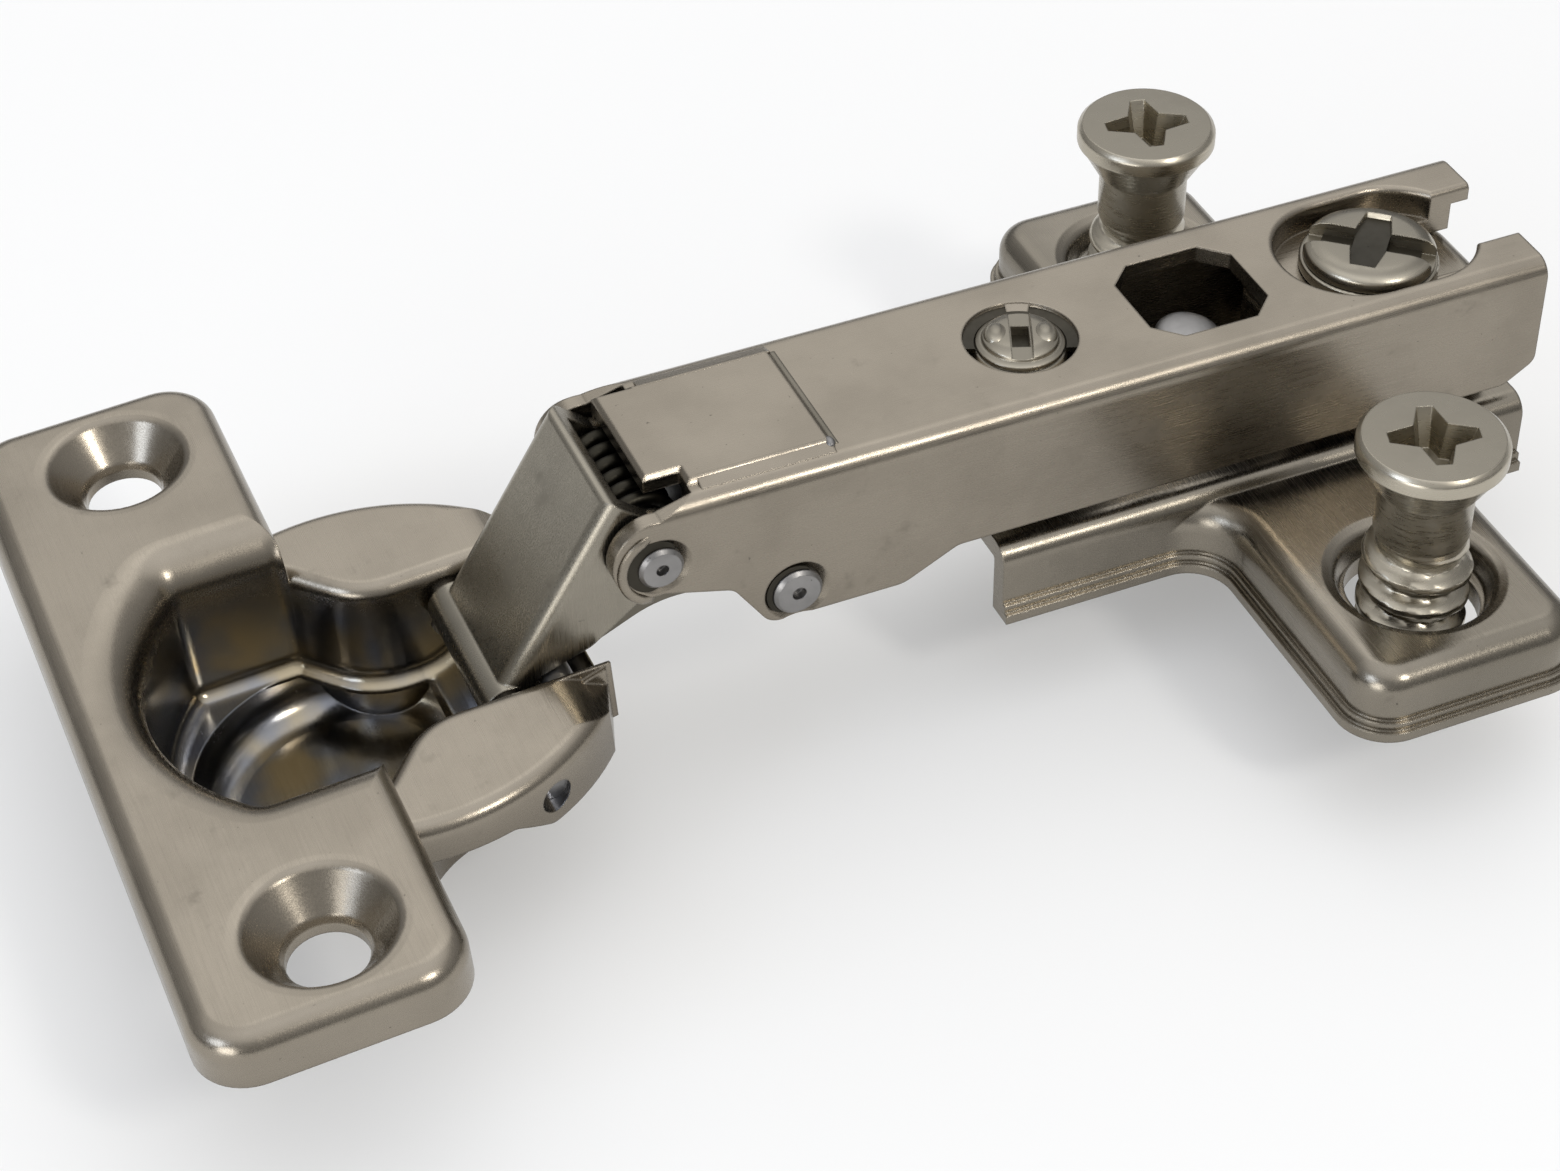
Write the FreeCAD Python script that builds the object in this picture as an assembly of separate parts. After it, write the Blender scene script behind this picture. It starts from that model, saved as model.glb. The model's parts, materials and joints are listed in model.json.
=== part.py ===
"""Concealed cup hinge of the small 26 mm kind, standing open.

Row frame, millimetres: X runs along the arm towards the inside of the cabinet, Y along the hinge
axes, Z away from the cabinet's side panel. The origin is midway between the two euro screws on the
plate's seating face. The cup is drawn in its own frame (flange top at z = 0) and then set in place.
"""
import FreeCAD, Part
import math
import os

V = FreeCAD.Vector
os.makedirs("parts", exist_ok=True)

# Sheet, clearances
SHEET = 1.0                 # steel of the cup, the arm and the outer link
CUP_WALL = 0.7              # the cup's drawn walls, stretched thinner than its flange
PLATE_SHEET = 1.2           # steel of the mounting plate
RUNNING = 0.05              # radial clearance of what turns on a pin
SEAT_GAP = 0.1              # gap left under what is only clamped

# Widths that nest in one another
ARM_HALF = 5.9
LINK_SIDE_GAP = 0.25        # beside the outer link in the arm
NECK_SIDE_GAP = 0.55        # beside the outer link in the cup's neck
LINK_HALF = ARM_HALF - SHEET - LINK_SIDE_GAP
NECK_HALF = LINK_HALF + NECK_SIDE_GAP

# Pins of the linkage, in the row frame (x, z)
FRONT_PIN = (-39.4, 10.4)
REAR_PIN = (-31.8, 6.1)
FRONT_PIN_R = 1.25
REAR_PIN_R = 1.4
CUP_PIN_R = 0.9
RIVET_PROUD = 0.3           # how far a rivet head stands out of the cheek
RIVET_SINK = 0.5            # width of the cone pressed round a rivet

# Cup: place of its frame in the row, and pins in the cup's frame (x, z)
CUP_X = -53.6
CUP_Z = 7.0
OPEN_TILT = 3.8             # the flange rises this much towards the arm when open
OUTER_CUP_PIN = (5.6, -4.9)
INNER_CUP_PIN = (8.4, -4.2)

# Cup body
CUP_R = 13.0
POCKET_HALF = 8.9           # flat side walls of the pocket
POCKET_RIGHT = -2.6         # where they turn in towards the neck
NECK_START = 0.6
NECK_BEND = 4.2
CUP_END = 11.0
POCKET_DEPTH = 9.6
BOWL_X = -2.8
BOWL_R = 8.3
BOWL_DEPTH = 12.2
NECK_RISE_START = 4.0
NECK_END_DEPTH = 6.0
RIM_BEND = 2.6              # bend from the flange into the pocket
WING_DROP = 2.8             # wings below the flange's top
WING_BEND = 0.9
WING_ROLL_START = 8.2
WING_ROLL_DROP = 1.4
WING_SLANT_START = 5.0      # the wings' end is square up to here and slants beyond
WING_SLANT = 0.33           # run of the slant for each mm across
SKIRT_SHORT = 2.4           # skirt below the wings' top, beside the flange
SKIRT_DEPTH = 3.7           # and where it holds the pins
SKIRT_STEP_START = 3.0
SKIRT_STEP_END = 5.2
PIN_INSET = 0.35            # cup pins end this much inside the skirt

# Flange
FLANGE_LEFT = -16.3
FLANGE_RIGHT = -2.3
FLANGE_HALF = 24.7
FLANGE_CORNER = 3.0
FLANGE_BEND = 1.3
FLANGE_RIM = 3.0            # height of the turned-down rim
FLANGE_HOLE_X = -8.6
FLANGE_HOLE_INSET = 5.7     # from the flange's end
FLANGE_HOLE_Y = FLANGE_HALF - FLANGE_HOLE_INSET
FLANGE_HOLE_R = 2.1
DISH_R = 3.9
DISH_DEPTH = 2.0

# Arm
ARM_TOP = 13.9
ARM_BEND = 1.1
ARM_BOTTOM = 6.0
ARM_REAR = 13.5
ARM_FRONT = -37.2           # front end of the full-width top
TONGUE_FRONT = -39.2
TONGUE_HALF = ARM_HALF - 2.7    # near side
TONGUE_FAR = ARM_HALF - 1.6     # far side
LOBE_R = 2.4
LOBE_CENTRE = (-39.6, 10.9)
PAD_REAR = -29.0
PAD_HALF = ARM_HALF - 1.5
PAD_RISE = 0.3
WINDOW_LEFT = -9.3
WINDOW_RIGHT = -2.1
WINDOW_HALF = ARM_HALF - 2.4
WINDOW_CUT = 1.4

# Adjusting screw in the arm
ADJUST_X = -16.1
ADJUST_R = 2.7
ADJUST_TOP = 14.4
ADJUST_DOME = 1.3
ADJUST_BODY_END = 9.0
ADJUST_NECK_R = 1.3
ADJUST_FOOT_R = 2.3
ADJUST_FOOT_H = 0.8
ADJUST_HOLE_RIM = 3.15
COLLAR_DEPTH = 2.2

# Fixing screw, its washer and the arm's recess for them
RECESS_BEND = 0.35          # pressed edge round the recess
RECESS_X = 5.9
RECESS_HALF = ARM_HALF - ARM_BEND - RECESS_BEND - RUNNING
RECESS_STRAIGHT = 1.4       # half of the recess's straight length
RECESS_DEPTH = 1.7
WASHER_R = RECESS_HALF - 0.5
WASHER_H = 0.6
FIX_X = 5.6
FIX_HEAD_R = WASHER_R - 0.2
FIX_HEAD_H = 1.1
FIX_SHANK_R = 2.2
FIX_END = 4.2
THROAT_HALF = FIX_SHANK_R + 0.25
DEPTH_TRAVEL = 1.1          # depth adjustment to each side

# Mounting plate
PLATE_TOP = 4.8             # top of the rail under the arm
WING_TOP = 4.1
RAIL_HALF = 6.3
RAIL_FRONT = -19.8
RAIL_REAR = 13.0
WING_HALF = 6.7
WING_END = 23.1
LIP = 0.5
LIP_H = 0.6
LIP_STEP = 0.5              # height of the lip's upper, narrower step
PLATE_BEND = 1.5
RAIL_BEND = 1.2
WING_CORNER = 2.4
WING_THROAT = 3.0
BOSS_FRONT = -0.6
BOSS_REAR = 12.4
BOSS_HALF = ARM_HALF - SHEET - 0.7
BOSS_CORNER = 1.8
SCREW_DISH_R = 4.5
SCREW_DISH_DEPTH = 1.5
SCREW_HOLE_R = 3.4
SCREW_SLOT = 0.5            # half of the slot's straight length

# Euro screws
EURO_PITCH = 32.0
EURO_TOP = 13.6
EURO_HEAD_R = 4.05
EURO_FACE_R = EURO_HEAD_R - 0.3
EURO_RIM_H = 1.3
EURO_CONE_H = 1.9
EURO_NECK_R = 2.7
EURO_THREAD_R = 3.1
EURO_THREAD_TOP = 6.6
EURO_TIP = -2.3
EURO_ROOT_R = 2.35
EURO_PITCH_THREAD = 1.5
DRIVE_HALF = 2.2            # arm length of a cross recess
DRIVE_WIDTH = 1.0
DRIVE_DEPTH = 1.6

# Outer link, in its own frame: u down along the web from the front pin, n out of the web
WEB_FACE = 3.9
WEB_SLOPE = 58.1            # degrees of the web below the horizontal
WEB_TOP = -2.2
LINK_BEND = 0.9
LINK_LOBE_R = 2.15
CUP_LOBE_R = 1.65
KNUCKLE_R = 1.45            # rolled end of the web round the cup pin

# Inner link
LEVER_HALF = LINK_HALF - 2.45
LEVER_SHEET = 0.9
LEVER_EYE_R = 1.34
LEVER_RISE = 1.5            # how far the lever arches above the line of its pins

# Closing spring on the front pin
WIRE_R = 0.42
COIL_R = 1.95
COIL_TURNS = 5.5
COIL_HALF = LINK_HALF - 1.55   # half of the coil's width between its ends
SPRING_LEG = 6.0


def turned(point, degrees):
    """Point (x, z) turned about +Y through the origin."""
    c, s = math.cos(math.radians(degrees)), math.sin(math.radians(degrees))
    return (point[0] * c + point[1] * s, -point[0] * s + point[1] * c)


def plus(a, b):
    return (a[0] + b[0], a[1] + b[1])


def minus(a, b):
    return (a[0] - b[0], a[1] - b[1])


def cup_to_row(point):
    return plus((CUP_X, CUP_Z), turned(point, -OPEN_TILT))


def in_xy(z):
    return lambda a, b: V(a, b, z)


def in_xz(y):
    return lambda a, b: V(a, y, b)


def in_yz(x):
    return lambda a, b: V(x, a, b)


def rounded_wire(corners, place):
    """Closed wire through corners (a, b) or (a, b, radius)."""
    joints = []
    count = len(corners)
    for i, corner in enumerate(corners):
        here = V(corner[0], corner[1], 0)
        radius = corner[2] if len(corner) > 2 else 0
        if radius == 0:
            joints.append((here, None, here))
            continue
        before = V(*corners[i - 1][:2], 0) - here
        after = V(*corners[(i + 1) % count][:2], 0) - here
        before.normalize()
        after.normalize()
        half = before.getAngle(after) / 2
        inward = before + after
        inward.normalize()
        run = radius / math.tan(half)
        centre = here + inward * (radius / math.sin(half))
        joints.append((here + before * run, centre - inward * radius, here + after * run))
    edges = []
    for i, (start, middle, end) in enumerate(joints):
        if middle is not None:
            edges.append(Part.Arc(*[place(p.x, p.y) for p in (start, middle, end)]).toShape())
        following = joints[(i + 1) % count][0]
        if end.distanceToPoint(following) > 1e-6:
            edges.append(Part.makeLine(place(end.x, end.y), place(following.x, following.y)))
    return Part.Wire(edges)


def slab_xy(corners, z0, z1):
    return Part.Face(rounded_wire(corners, in_xy(z0))).extrude(V(0, 0, z1 - z0))


def slab_xz(corners, y0, y1):
    return Part.Face(rounded_wire(corners, in_xz(y0))).extrude(V(0, y1 - y0, 0))


def slab_yz(corners, x0, x1):
    return Part.Face(rounded_wire(corners, in_yz(x0))).extrude(V(x1 - x0, 0, 0))


def block(x0, x1, y0, y1, z0, z1):
    return Part.makeBox(x1 - x0, y1 - y0, z1 - z0, V(x0, y0, z0))


def rod_y(centre, radius, y0, y1):
    return Part.makeCylinder(radius, y1 - y0, V(centre[0], y0, centre[1]), V(0, 1, 0))


def rod_z(x, y, radius, z0, z1):
    return Part.makeCylinder(radius, z1 - z0, V(x, y, z0), V(0, 0, 1))


def revolved(corners, x=0, y=0):
    """Solid of revolution about a vertical axis at (x, y) from (radius, z) corners."""
    face = Part.Face(rounded_wire(corners, in_xz(0)))
    solid = face.revolve(V(0, 0, 0), V(0, 0, 1), 360)
    solid.translate(V(x, y, 0))
    return solid


def rectangle(a0, a1, b0, b1, radius=0):
    return [(a0, b0, radius), (a1, b0, radius), (a1, b1, radius), (a0, b1, radius)]


def edges_at(shape, z):
    """Edges that lie flat at height z."""
    flat = [e for e in shape.Edges if e.BoundBox.ZLength < 1e-4]
    return [e for e in flat if abs(e.BoundBox.ZMin - z) < 1e-4]


def upright_edges(shape):
    return [e for e in shape.Edges if e.BoundBox.XLength < 1e-4 and e.BoundBox.YLength < 1e-4]


def both_sides(shape):
    """The shape and its mirror image across y = 0."""
    return shape.fuse(shape.mirror(V(0, 0, 0), V(0, 1, 0)))


def save(shape, node):
    shape = shape.removeSplitter()
    solids = shape.Solids
    result = solids[0] if len(solids) == 1 else Part.makeCompound(solids)
    print(node, "solids", len(solids), "valid", result.isValid(), "volume", round(result.Volume, 2))
    result.exportStep("parts/" + node + ".step")
    return result


def pocket_plan(grow):
    """Plan of the drawn pocket and neck, moved outwards by grow."""
    radius = CUP_R - CUP_WALL + grow
    half = POCKET_HALF + grow
    neck = NECK_HALF + grow
    left = -math.sqrt(radius ** 2 - half ** 2)
    end = CUP_END + 4
    arc = Part.Arc(V(left, -half, 0), V(-radius, 0, 0), V(left, half, 0)).toShape()
    shift = grow * math.tan(math.radians(22.5))
    stations = [
        V(left, half, 0), V(POCKET_RIGHT + shift, half, 0), V(NECK_START + shift, neck, 0), V(end, neck, 0),
        V(end, -neck, 0), V(NECK_START + shift, -neck, 0), V(POCKET_RIGHT + shift, -half, 0),
        V(left, -half, 0),
    ]
    lines = [Part.makeLine(a, b) for a, b in zip(stations, stations[1:])]
    return Part.Face(Part.Wire([arc] + lines))


def pocket_prism(grow, bottom, top):
    """Drawn pocket and neck between two heights, upright corners rounded."""
    prism = pocket_plan(grow).extrude(V(0, 0, top - bottom))
    prism.translate(V(0, 0, bottom))
    convex = 1.0 + grow
    corners = [e for e in upright_edges(prism) if e.BoundBox.XMin < NECK_START - 1]
    prism = prism.makeFillet(convex, corners)
    inner = [e for e in upright_edges(prism) if abs(e.BoundBox.XMin - NECK_START) < 1]
    return prism.makeFillet(NECK_BEND - grow, inner)


def neck_floor_cut(grow):
    """What lies under the rising floor of the neck."""
    low = -POCKET_DEPTH - grow
    end_low = -NECK_END_DEPTH - grow
    far = CUP_END + 6
    corners = [
        (NECK_RISE_START, low, 3.0), (CUP_END, end_low, 0), (far, end_low + 1, 0),
        (far, low - 9, 0), (NECK_RISE_START - 6, low - 9, 0), (NECK_RISE_START - 6, low, 0),
    ]
    return slab_xz(corners, -CUP_R - 2, CUP_R + 2)


def drawn_body(grow, top):
    """Pocket, neck and bowl as one drawn form, moved outwards by grow."""
    body = pocket_prism(grow, -POCKET_DEPTH - grow, top)
    body = body.cut(neck_floor_cut(grow))
    round_r = 1.0 + grow * 0.6
    low = edges_at(body, -POCKET_DEPTH - grow)
    low = [e for e in low if e.BoundBox.XMax < NECK_RISE_START - 0.8]
    body = body.makeFillet(round_r, low)
    bowl = Part.makeCylinder(BOWL_R + grow, BOWL_DEPTH, V(BOWL_X, 0, -BOWL_DEPTH - grow), V(0, 0, 1))
    bowl = bowl.makeFillet(2.0 + grow, edges_at(bowl, -BOWL_DEPTH - grow))
    return body.fuse(bowl.common(pocket_prism(grow, -BOWL_DEPTH - grow - 1, -POCKET_DEPTH)))


def flare(plan, top, radius):
    """Rounded mouth: what a bend of this radius takes away above a wall that follows the plan."""
    slab = block(-40, 40, -40, 40, top - radius, top)
    hole = plan.extrude(V(0, 0, radius))
    hole.translate(V(0, 0, top - radius))
    walled = slab.cut(hole)
    rim = [e for e in edges_at(walled, top) if e.BoundBox.XMin > -30 and e.BoundBox.XMax < 30]
    return slab.cut(walled.makeFillet(radius * 0.999, rim))


def neck_plan():
    prism = pocket_prism(0, 0, 1)
    faces = [f for f in prism.Faces if abs(f.BoundBox.ZMax) < 1e-6]
    return faces[0]


def flange_tray():
    """Flange with its turned-down rim."""
    outline = rectangle(FLANGE_LEFT, FLANGE_RIGHT, -FLANGE_HALF, FLANGE_HALF, FLANGE_CORNER)
    outer = slab_xy(outline, -FLANGE_RIM, 0)
    outer = outer.makeFillet(FLANGE_BEND, edges_at(outer, 0))
    inside = rectangle(
        FLANGE_LEFT + SHEET, FLANGE_RIGHT - SHEET, SHEET - FLANGE_HALF, FLANGE_HALF - SHEET,
        FLANGE_CORNER - SHEET)
    inner = slab_xy(inside, -FLANGE_RIM, -SHEET)
    return outer.cut(inner.makeFillet(FLANGE_BEND - SHEET, edges_at(inner, -SHEET)))


def flange_dish(y):
    """Material and cut of one dished screw hole."""
    low = -DISH_DEPTH - SHEET
    body = revolved([
        (0, -SHEET / 2), (DISH_R + SHEET, -SHEET / 2), (DISH_R + 0.3, -1.5 * SHEET, 0.5),
        (FLANGE_HOLE_R + SHEET, low, 0.5), (0, low)], FLANGE_HOLE_X, y)
    cut = revolved([
        (0, 1), (DISH_R + 0.6, 1), (DISH_R + 0.6, 0), (DISH_R, -0.05, 0.6),
        (FLANGE_HOLE_R + 0.2, -DISH_DEPTH, 0.6),
        (FLANGE_HOLE_R, -DISH_DEPTH - 0.4), (FLANGE_HOLE_R, low - 1), (0, low - 1)], FLANGE_HOLE_X, y)
    return body, cut


def wings():
    """Both flat wings beside the neck with their round skirt."""
    top = -WING_DROP
    bottom = top - SKIRT_DEPTH
    outer = rod_z(0, 0, CUP_R, bottom, top)
    outer = outer.makeFillet(WING_BEND, edges_at(outer, top))
    inner = rod_z(0, 0, CUP_R - SHEET, bottom, top - SHEET)
    shell = outer.cut(inner)
    start = FLANGE_RIGHT - SHEET / 2
    short = top - SKIRT_SHORT
    end = slab_xz([
        (start, top), (WING_ROLL_START, top, 2.5), (CUP_END, top - WING_ROLL_DROP), (CUP_END, bottom),
        (SKIRT_STEP_END, bottom, 1.0), (SKIRT_STEP_START, short, 1.0), (start, short)], -CUP_R, CUP_R)
    slant_end = CUP_END - WING_SLANT * (CUP_R - WING_SLANT_START)
    plan = slab_xy([
        (-CUP_R, -CUP_R), (slant_end, -CUP_R), (CUP_END, -WING_SLANT_START, 1.0),
        (CUP_END, WING_SLANT_START, 1.0), (slant_end, CUP_R), (-CUP_R, CUP_R)], bottom, top)
    under = slab_xz([
        (WING_ROLL_START - 0.3, top - SHEET), (CUP_END, top - SHEET - WING_ROLL_DROP),
        (CUP_END, top)], -NECK_HALF - SHEET, NECK_HALF + SHEET)
    under_rim = block(-CUP_R, FLANGE_RIGHT, -CUP_R, CUP_R, bottom - 1, -FLANGE_RIM)
    return shell.common(end).fuse(under).common(plan).cut(under_rim)


def make_cup():
    tray = flange_tray()
    drawn = drawn_body(CUP_WALL, -SHEET / 2)
    above_wings = block(FLANGE_RIGHT - SHEET / 2, 40, -30, 30, -WING_DROP, 5)
    beyond = block(CUP_END, 40, -30, 30, -40, 5)
    body = tray.fuse([drawn.cut(above_wings), wings()])
    cuts = []
    for side in (-1, 1):
        dish, hole = flange_dish(side * FLANGE_HOLE_Y)
        body = body.fuse(dish)
        cuts.append(hole)
    cuts.append(drawn_body(0, 3))
    cuts.append(flare(neck_plan(), 0, RIM_BEND))
    low_flare = flare(neck_plan(), -WING_DROP, WING_BEND)
    cuts.append(low_flare.common(block(FLANGE_RIGHT, 40, -30, 30, -20, 5)))
    cuts.append(beyond)
    reach = CUP_R + 1
    cuts.append(rod_y(OUTER_CUP_PIN, CUP_PIN_R, -reach, reach))
    blind = pin_half(INNER_CUP_PIN) + RUNNING
    cuts.append(rod_y(INNER_CUP_PIN, CUP_PIN_R, -blind, blind))
    body = body.cut(cuts)
    return placed_cup(body)


def placed_cup(shape):
    shape = shape.copy()
    shape.rotate(V(0, 0, 0), V(0, 1, 0), -OPEN_TILT)
    shape.translate(V(CUP_X, 0, CUP_Z))
    return shape


def cup_pin(pin, half):
    return rod_y(cup_to_row(pin), CUP_PIN_R, -half, half)


def pin_half(pin):
    """Half length of a cup pin, which ends inside the round skirt."""
    return math.sqrt(CUP_R ** 2 - (pin[0] + CUP_PIN_R) ** 2) - PIN_INSET


def link_coordinates(point):
    """Place of a row point along and out of the outer link's web."""
    angle = math.radians(WEB_SLOPE)
    rel = minus(point, FRONT_PIN)
    u = -rel[0] * math.cos(angle) - rel[1] * math.sin(angle)
    n = -rel[0] * math.sin(angle) + rel[1] * math.cos(angle)
    return u, n


def make_outer_link():
    cup_u, cup_n = link_coordinates(cup_to_row(OUTER_CUP_PIN))
    pin_u, pin_n = link_coordinates(cup_to_row(INNER_CUP_PIN))
    web_end = cup_u - CUP_PIN_R - 0.4
    waist = pin_n + CUP_PIN_R + 0.45
    side = slab_xz([
        (WEB_TOP, WEB_FACE, 0.4), (web_end, WEB_FACE, 0.5), (cup_u, cup_n + 0.6), (cup_u - 0.4, cup_n - 0.6),
        (pin_u, waist, 0.8), (pin_u - 2.6, pin_n - 0.7, 1.5), (LINK_LOBE_R * 0.7, -LINK_LOBE_R * 0.7),
        (-LINK_LOBE_R * 0.75, -LINK_LOBE_R * 0.5)], -LINK_HALF, LINK_HALF)
    eyes = [rod_y((0, 0), LINK_LOBE_R, -LINK_HALF, LINK_HALF),
            rod_y((cup_u, cup_n), CUP_LOBE_R, -LINK_HALF, LINK_HALF)]
    solid = side.fuse(eyes)
    inside = LINK_HALF - SHEET
    under = WEB_FACE - SHEET
    far = 14
    section = slab_yz([
        (-LINK_HALF, -far), (-LINK_HALF, WEB_FACE, LINK_BEND), (LINK_HALF, WEB_FACE, LINK_BEND),
        (LINK_HALF, -far)],
        -far, far)
    hollow = slab_xz([
        (-far, under), (web_end - 0.9, under, 0.3), (web_end + 0.2, far), (far, far), (far, -far),
        (-far, -far)], -inside, inside)
    holes = [rod_y((0, 0), FRONT_PIN_R + RUNNING, -LINK_HALF, LINK_HALF),
             rod_y((cup_u, cup_n), CUP_PIN_R + RUNNING, -LINK_HALF, LINK_HALF)]
    knuckle = rod_y((cup_u, cup_n), KNUCKLE_R, -LINK_HALF, LINK_HALF)
    curl = slab_xz([
        (web_end - 1.2, under), (web_end - 1.2, WEB_FACE), (web_end, WEB_FACE, 0.5),
        (cup_u + 0.6 * KNUCKLE_R, cup_n + 0.79 * KNUCKLE_R), (cup_u, cup_n)], -LINK_HALF, LINK_HALF)
    rolled = knuckle.fuse(curl.common(section))
    solid = solid.common(section).cut(hollow).fuse(rolled).cut(holes)
    solid.Placement = link_placement()
    return solid


def link_placement():
    """Place of the outer link's own frame: X down the web, Z out of it."""
    angle = math.radians(WEB_SLOPE)
    down = V(-math.cos(angle), 0, -math.sin(angle))
    out = V(-math.sin(angle), 0, math.cos(angle))
    turn = FreeCAD.Rotation(down, V(0, -1, 0), out, "ZXY")
    return FreeCAD.Placement(V(FRONT_PIN[0], 0, FRONT_PIN[1]), turn)


def closed_link_turn():
    """Turn of the outer link about +Y, in degrees, that closes the linkage."""
    outer = cup_to_row(OUTER_CUP_PIN)
    inner = cup_to_row(INNER_CUP_PIN)
    reach = math.dist(inner, REAR_PIN)

    def error(degrees):
        end = plus(FRONT_PIN, turned(minus(outer, FRONT_PIN), degrees))
        tip = plus(end, turned(minus(inner, outer), 90 + OPEN_TILT))
        return math.dist(tip, REAR_PIN) - reach

    low, high = -70.0, -10.0
    for _ in range(60):
        middle = (low + high) / 2
        if error(low) * error(middle) <= 0:
            high = middle
        else:
            low = middle
    return low


def rear_pin_path(count):
    """Places of the rear pin as the inner link sees it, from open to closed."""
    outer = cup_to_row(OUTER_CUP_PIN)
    inner = cup_to_row(INNER_CUP_PIN)
    link_end = closed_link_turn()
    close = 90 + OPEN_TILT
    end = plus(FRONT_PIN, turned(minus(outer, FRONT_PIN), link_end))
    tip = plus(end, turned(minus(inner, outer), close))
    before = minus(inner, REAR_PIN)
    after = minus(tip, REAR_PIN)
    lever_end = math.degrees(math.atan2(before[1], before[0]) - math.atan2(after[1], after[0]))
    lever_end = (lever_end + 180) % 360 - 180
    path = []
    for i in range(count):
        part = i / (count - 1)
        elbow = plus(FRONT_PIN, turned(minus(outer, FRONT_PIN), link_end * part))
        tip = plus(elbow, turned(minus(inner, outer), close * part))
        path.append(plus(inner, turned(minus(REAR_PIN, tip), -lever_end * part)))
    return path


def slotted(points, radius, y0, y1):
    """Rounded slot through which a round pin can follow the points."""
    slot = rod_y(points[0], radius, y0, y1)
    for a, b in zip(points, points[1:]):
        slot = slot.fuse(rod_y(b, radius, y0, y1))
        along = minus(b, a)
        length = math.hypot(*along)
        if length < 0.05:
            continue
        side = (-along[1] / length * radius, along[0] / length * radius)
        slot = slot.fuse(slab_xz([minus(a, side), minus(b, side), plus(b, side), plus(a, side)], y0, y1))
    return slot.removeSplitter()


def make_inner_link():
    path = rear_pin_path(7)
    inner = cup_to_row(INNER_CUP_PIN)
    clear = REAR_PIN_R + 0.12
    eye = slotted(path, clear + LEVER_SHEET, -LEVER_HALF, LEVER_HALF)
    tip = rod_y(inner, LEVER_EYE_R, -LEVER_HALF, LEVER_HALF)
    middle = ((inner[0] + REAR_PIN[0]) / 2, (inner[1] + REAR_PIN[1]) / 2)
    bar = slab_xz([
        (inner[0], inner[1] - LEVER_EYE_R), (inner[0] + 2.2, inner[1] - 0.6, 1.0),
        (middle[0], middle[1] + LEVER_RISE - 1.4, 6), (REAR_PIN[0] - 1.5, REAR_PIN[1] - 1.6),
        (REAR_PIN[0] - 1.0, REAR_PIN[1] + 2.0), (middle[0], middle[1] + LEVER_RISE + 1.4, 4),
        (inner[0] + 2.4, inner[1] + 1.1, 1.0), (inner[0] + 0.3, inner[1] + 1.1)], -LEVER_HALF, LEVER_HALF)
    solid = bar.fuse([eye, tip])
    gap = LEVER_HALF - LEVER_SHEET
    hollow = slab_xz([
        (inner[0] - 4, inner[1] - 6), (inner[0] - 4, inner[1] + 6), (inner[0] + 2.6, inner[1] + 6),
        (inner[0] + 2.6, inner[1] - 6)], -gap, gap)
    upper = slab_xz([
        (inner[0] + 2.5, inner[1] + 0.6, 0.4), (middle[0], middle[1] + LEVER_RISE - 0.3, 6),
        (REAR_PIN[0] - 3.4, REAR_PIN[1] - 0.4, 0.4), (REAR_PIN[0] - 3.4, REAR_PIN[1] + 8),
        (inner[0] + 2.5, inner[1] + 9)], -gap, gap)
    solid = solid.cut([hollow, upper])
    cuts = slotted(path, clear, -LEVER_HALF, LEVER_HALF)
    return solid.cut([cuts, rod_y(inner, CUP_PIN_R + RUNNING, -LEVER_HALF, LEVER_HALF)])


def rivet(centre, radius, dimple):
    """Pin riveted over on both cheeks."""
    half = ARM_HALF + RIVET_PROUD
    pin = rod_y(centre, radius, -half, half)
    ends = [e for e in pin.Edges if e.BoundBox.YLength < 1e-4]
    pin = pin.makeChamfer(0.2, ends)
    for side in (-1, 1):
        low, high = sorted((side * half, side * (half - 0.5)))
        pin = pin.cut(rod_y(centre, dimple, low, high))
    return pin


def rivet_sink(centre, radius):
    """Shallow cone round a rivet on both cheeks."""
    depth = 0.35
    foot = V(centre[0], ARM_HALF - depth, centre[1])
    cone = Part.makeCone(radius, radius + RIVET_SINK, depth, foot, V(0, 1, 0))
    return both_sides(cone)


def is_recess_edge(edge):
    """Whether a top edge of the arm belongs to the recess or its throat."""
    box = edge.BoundBox
    across = box.XLength < 0.01
    return not across and max(abs(box.YMin), abs(box.YMax)) < RECESS_HALF + 0.1


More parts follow.
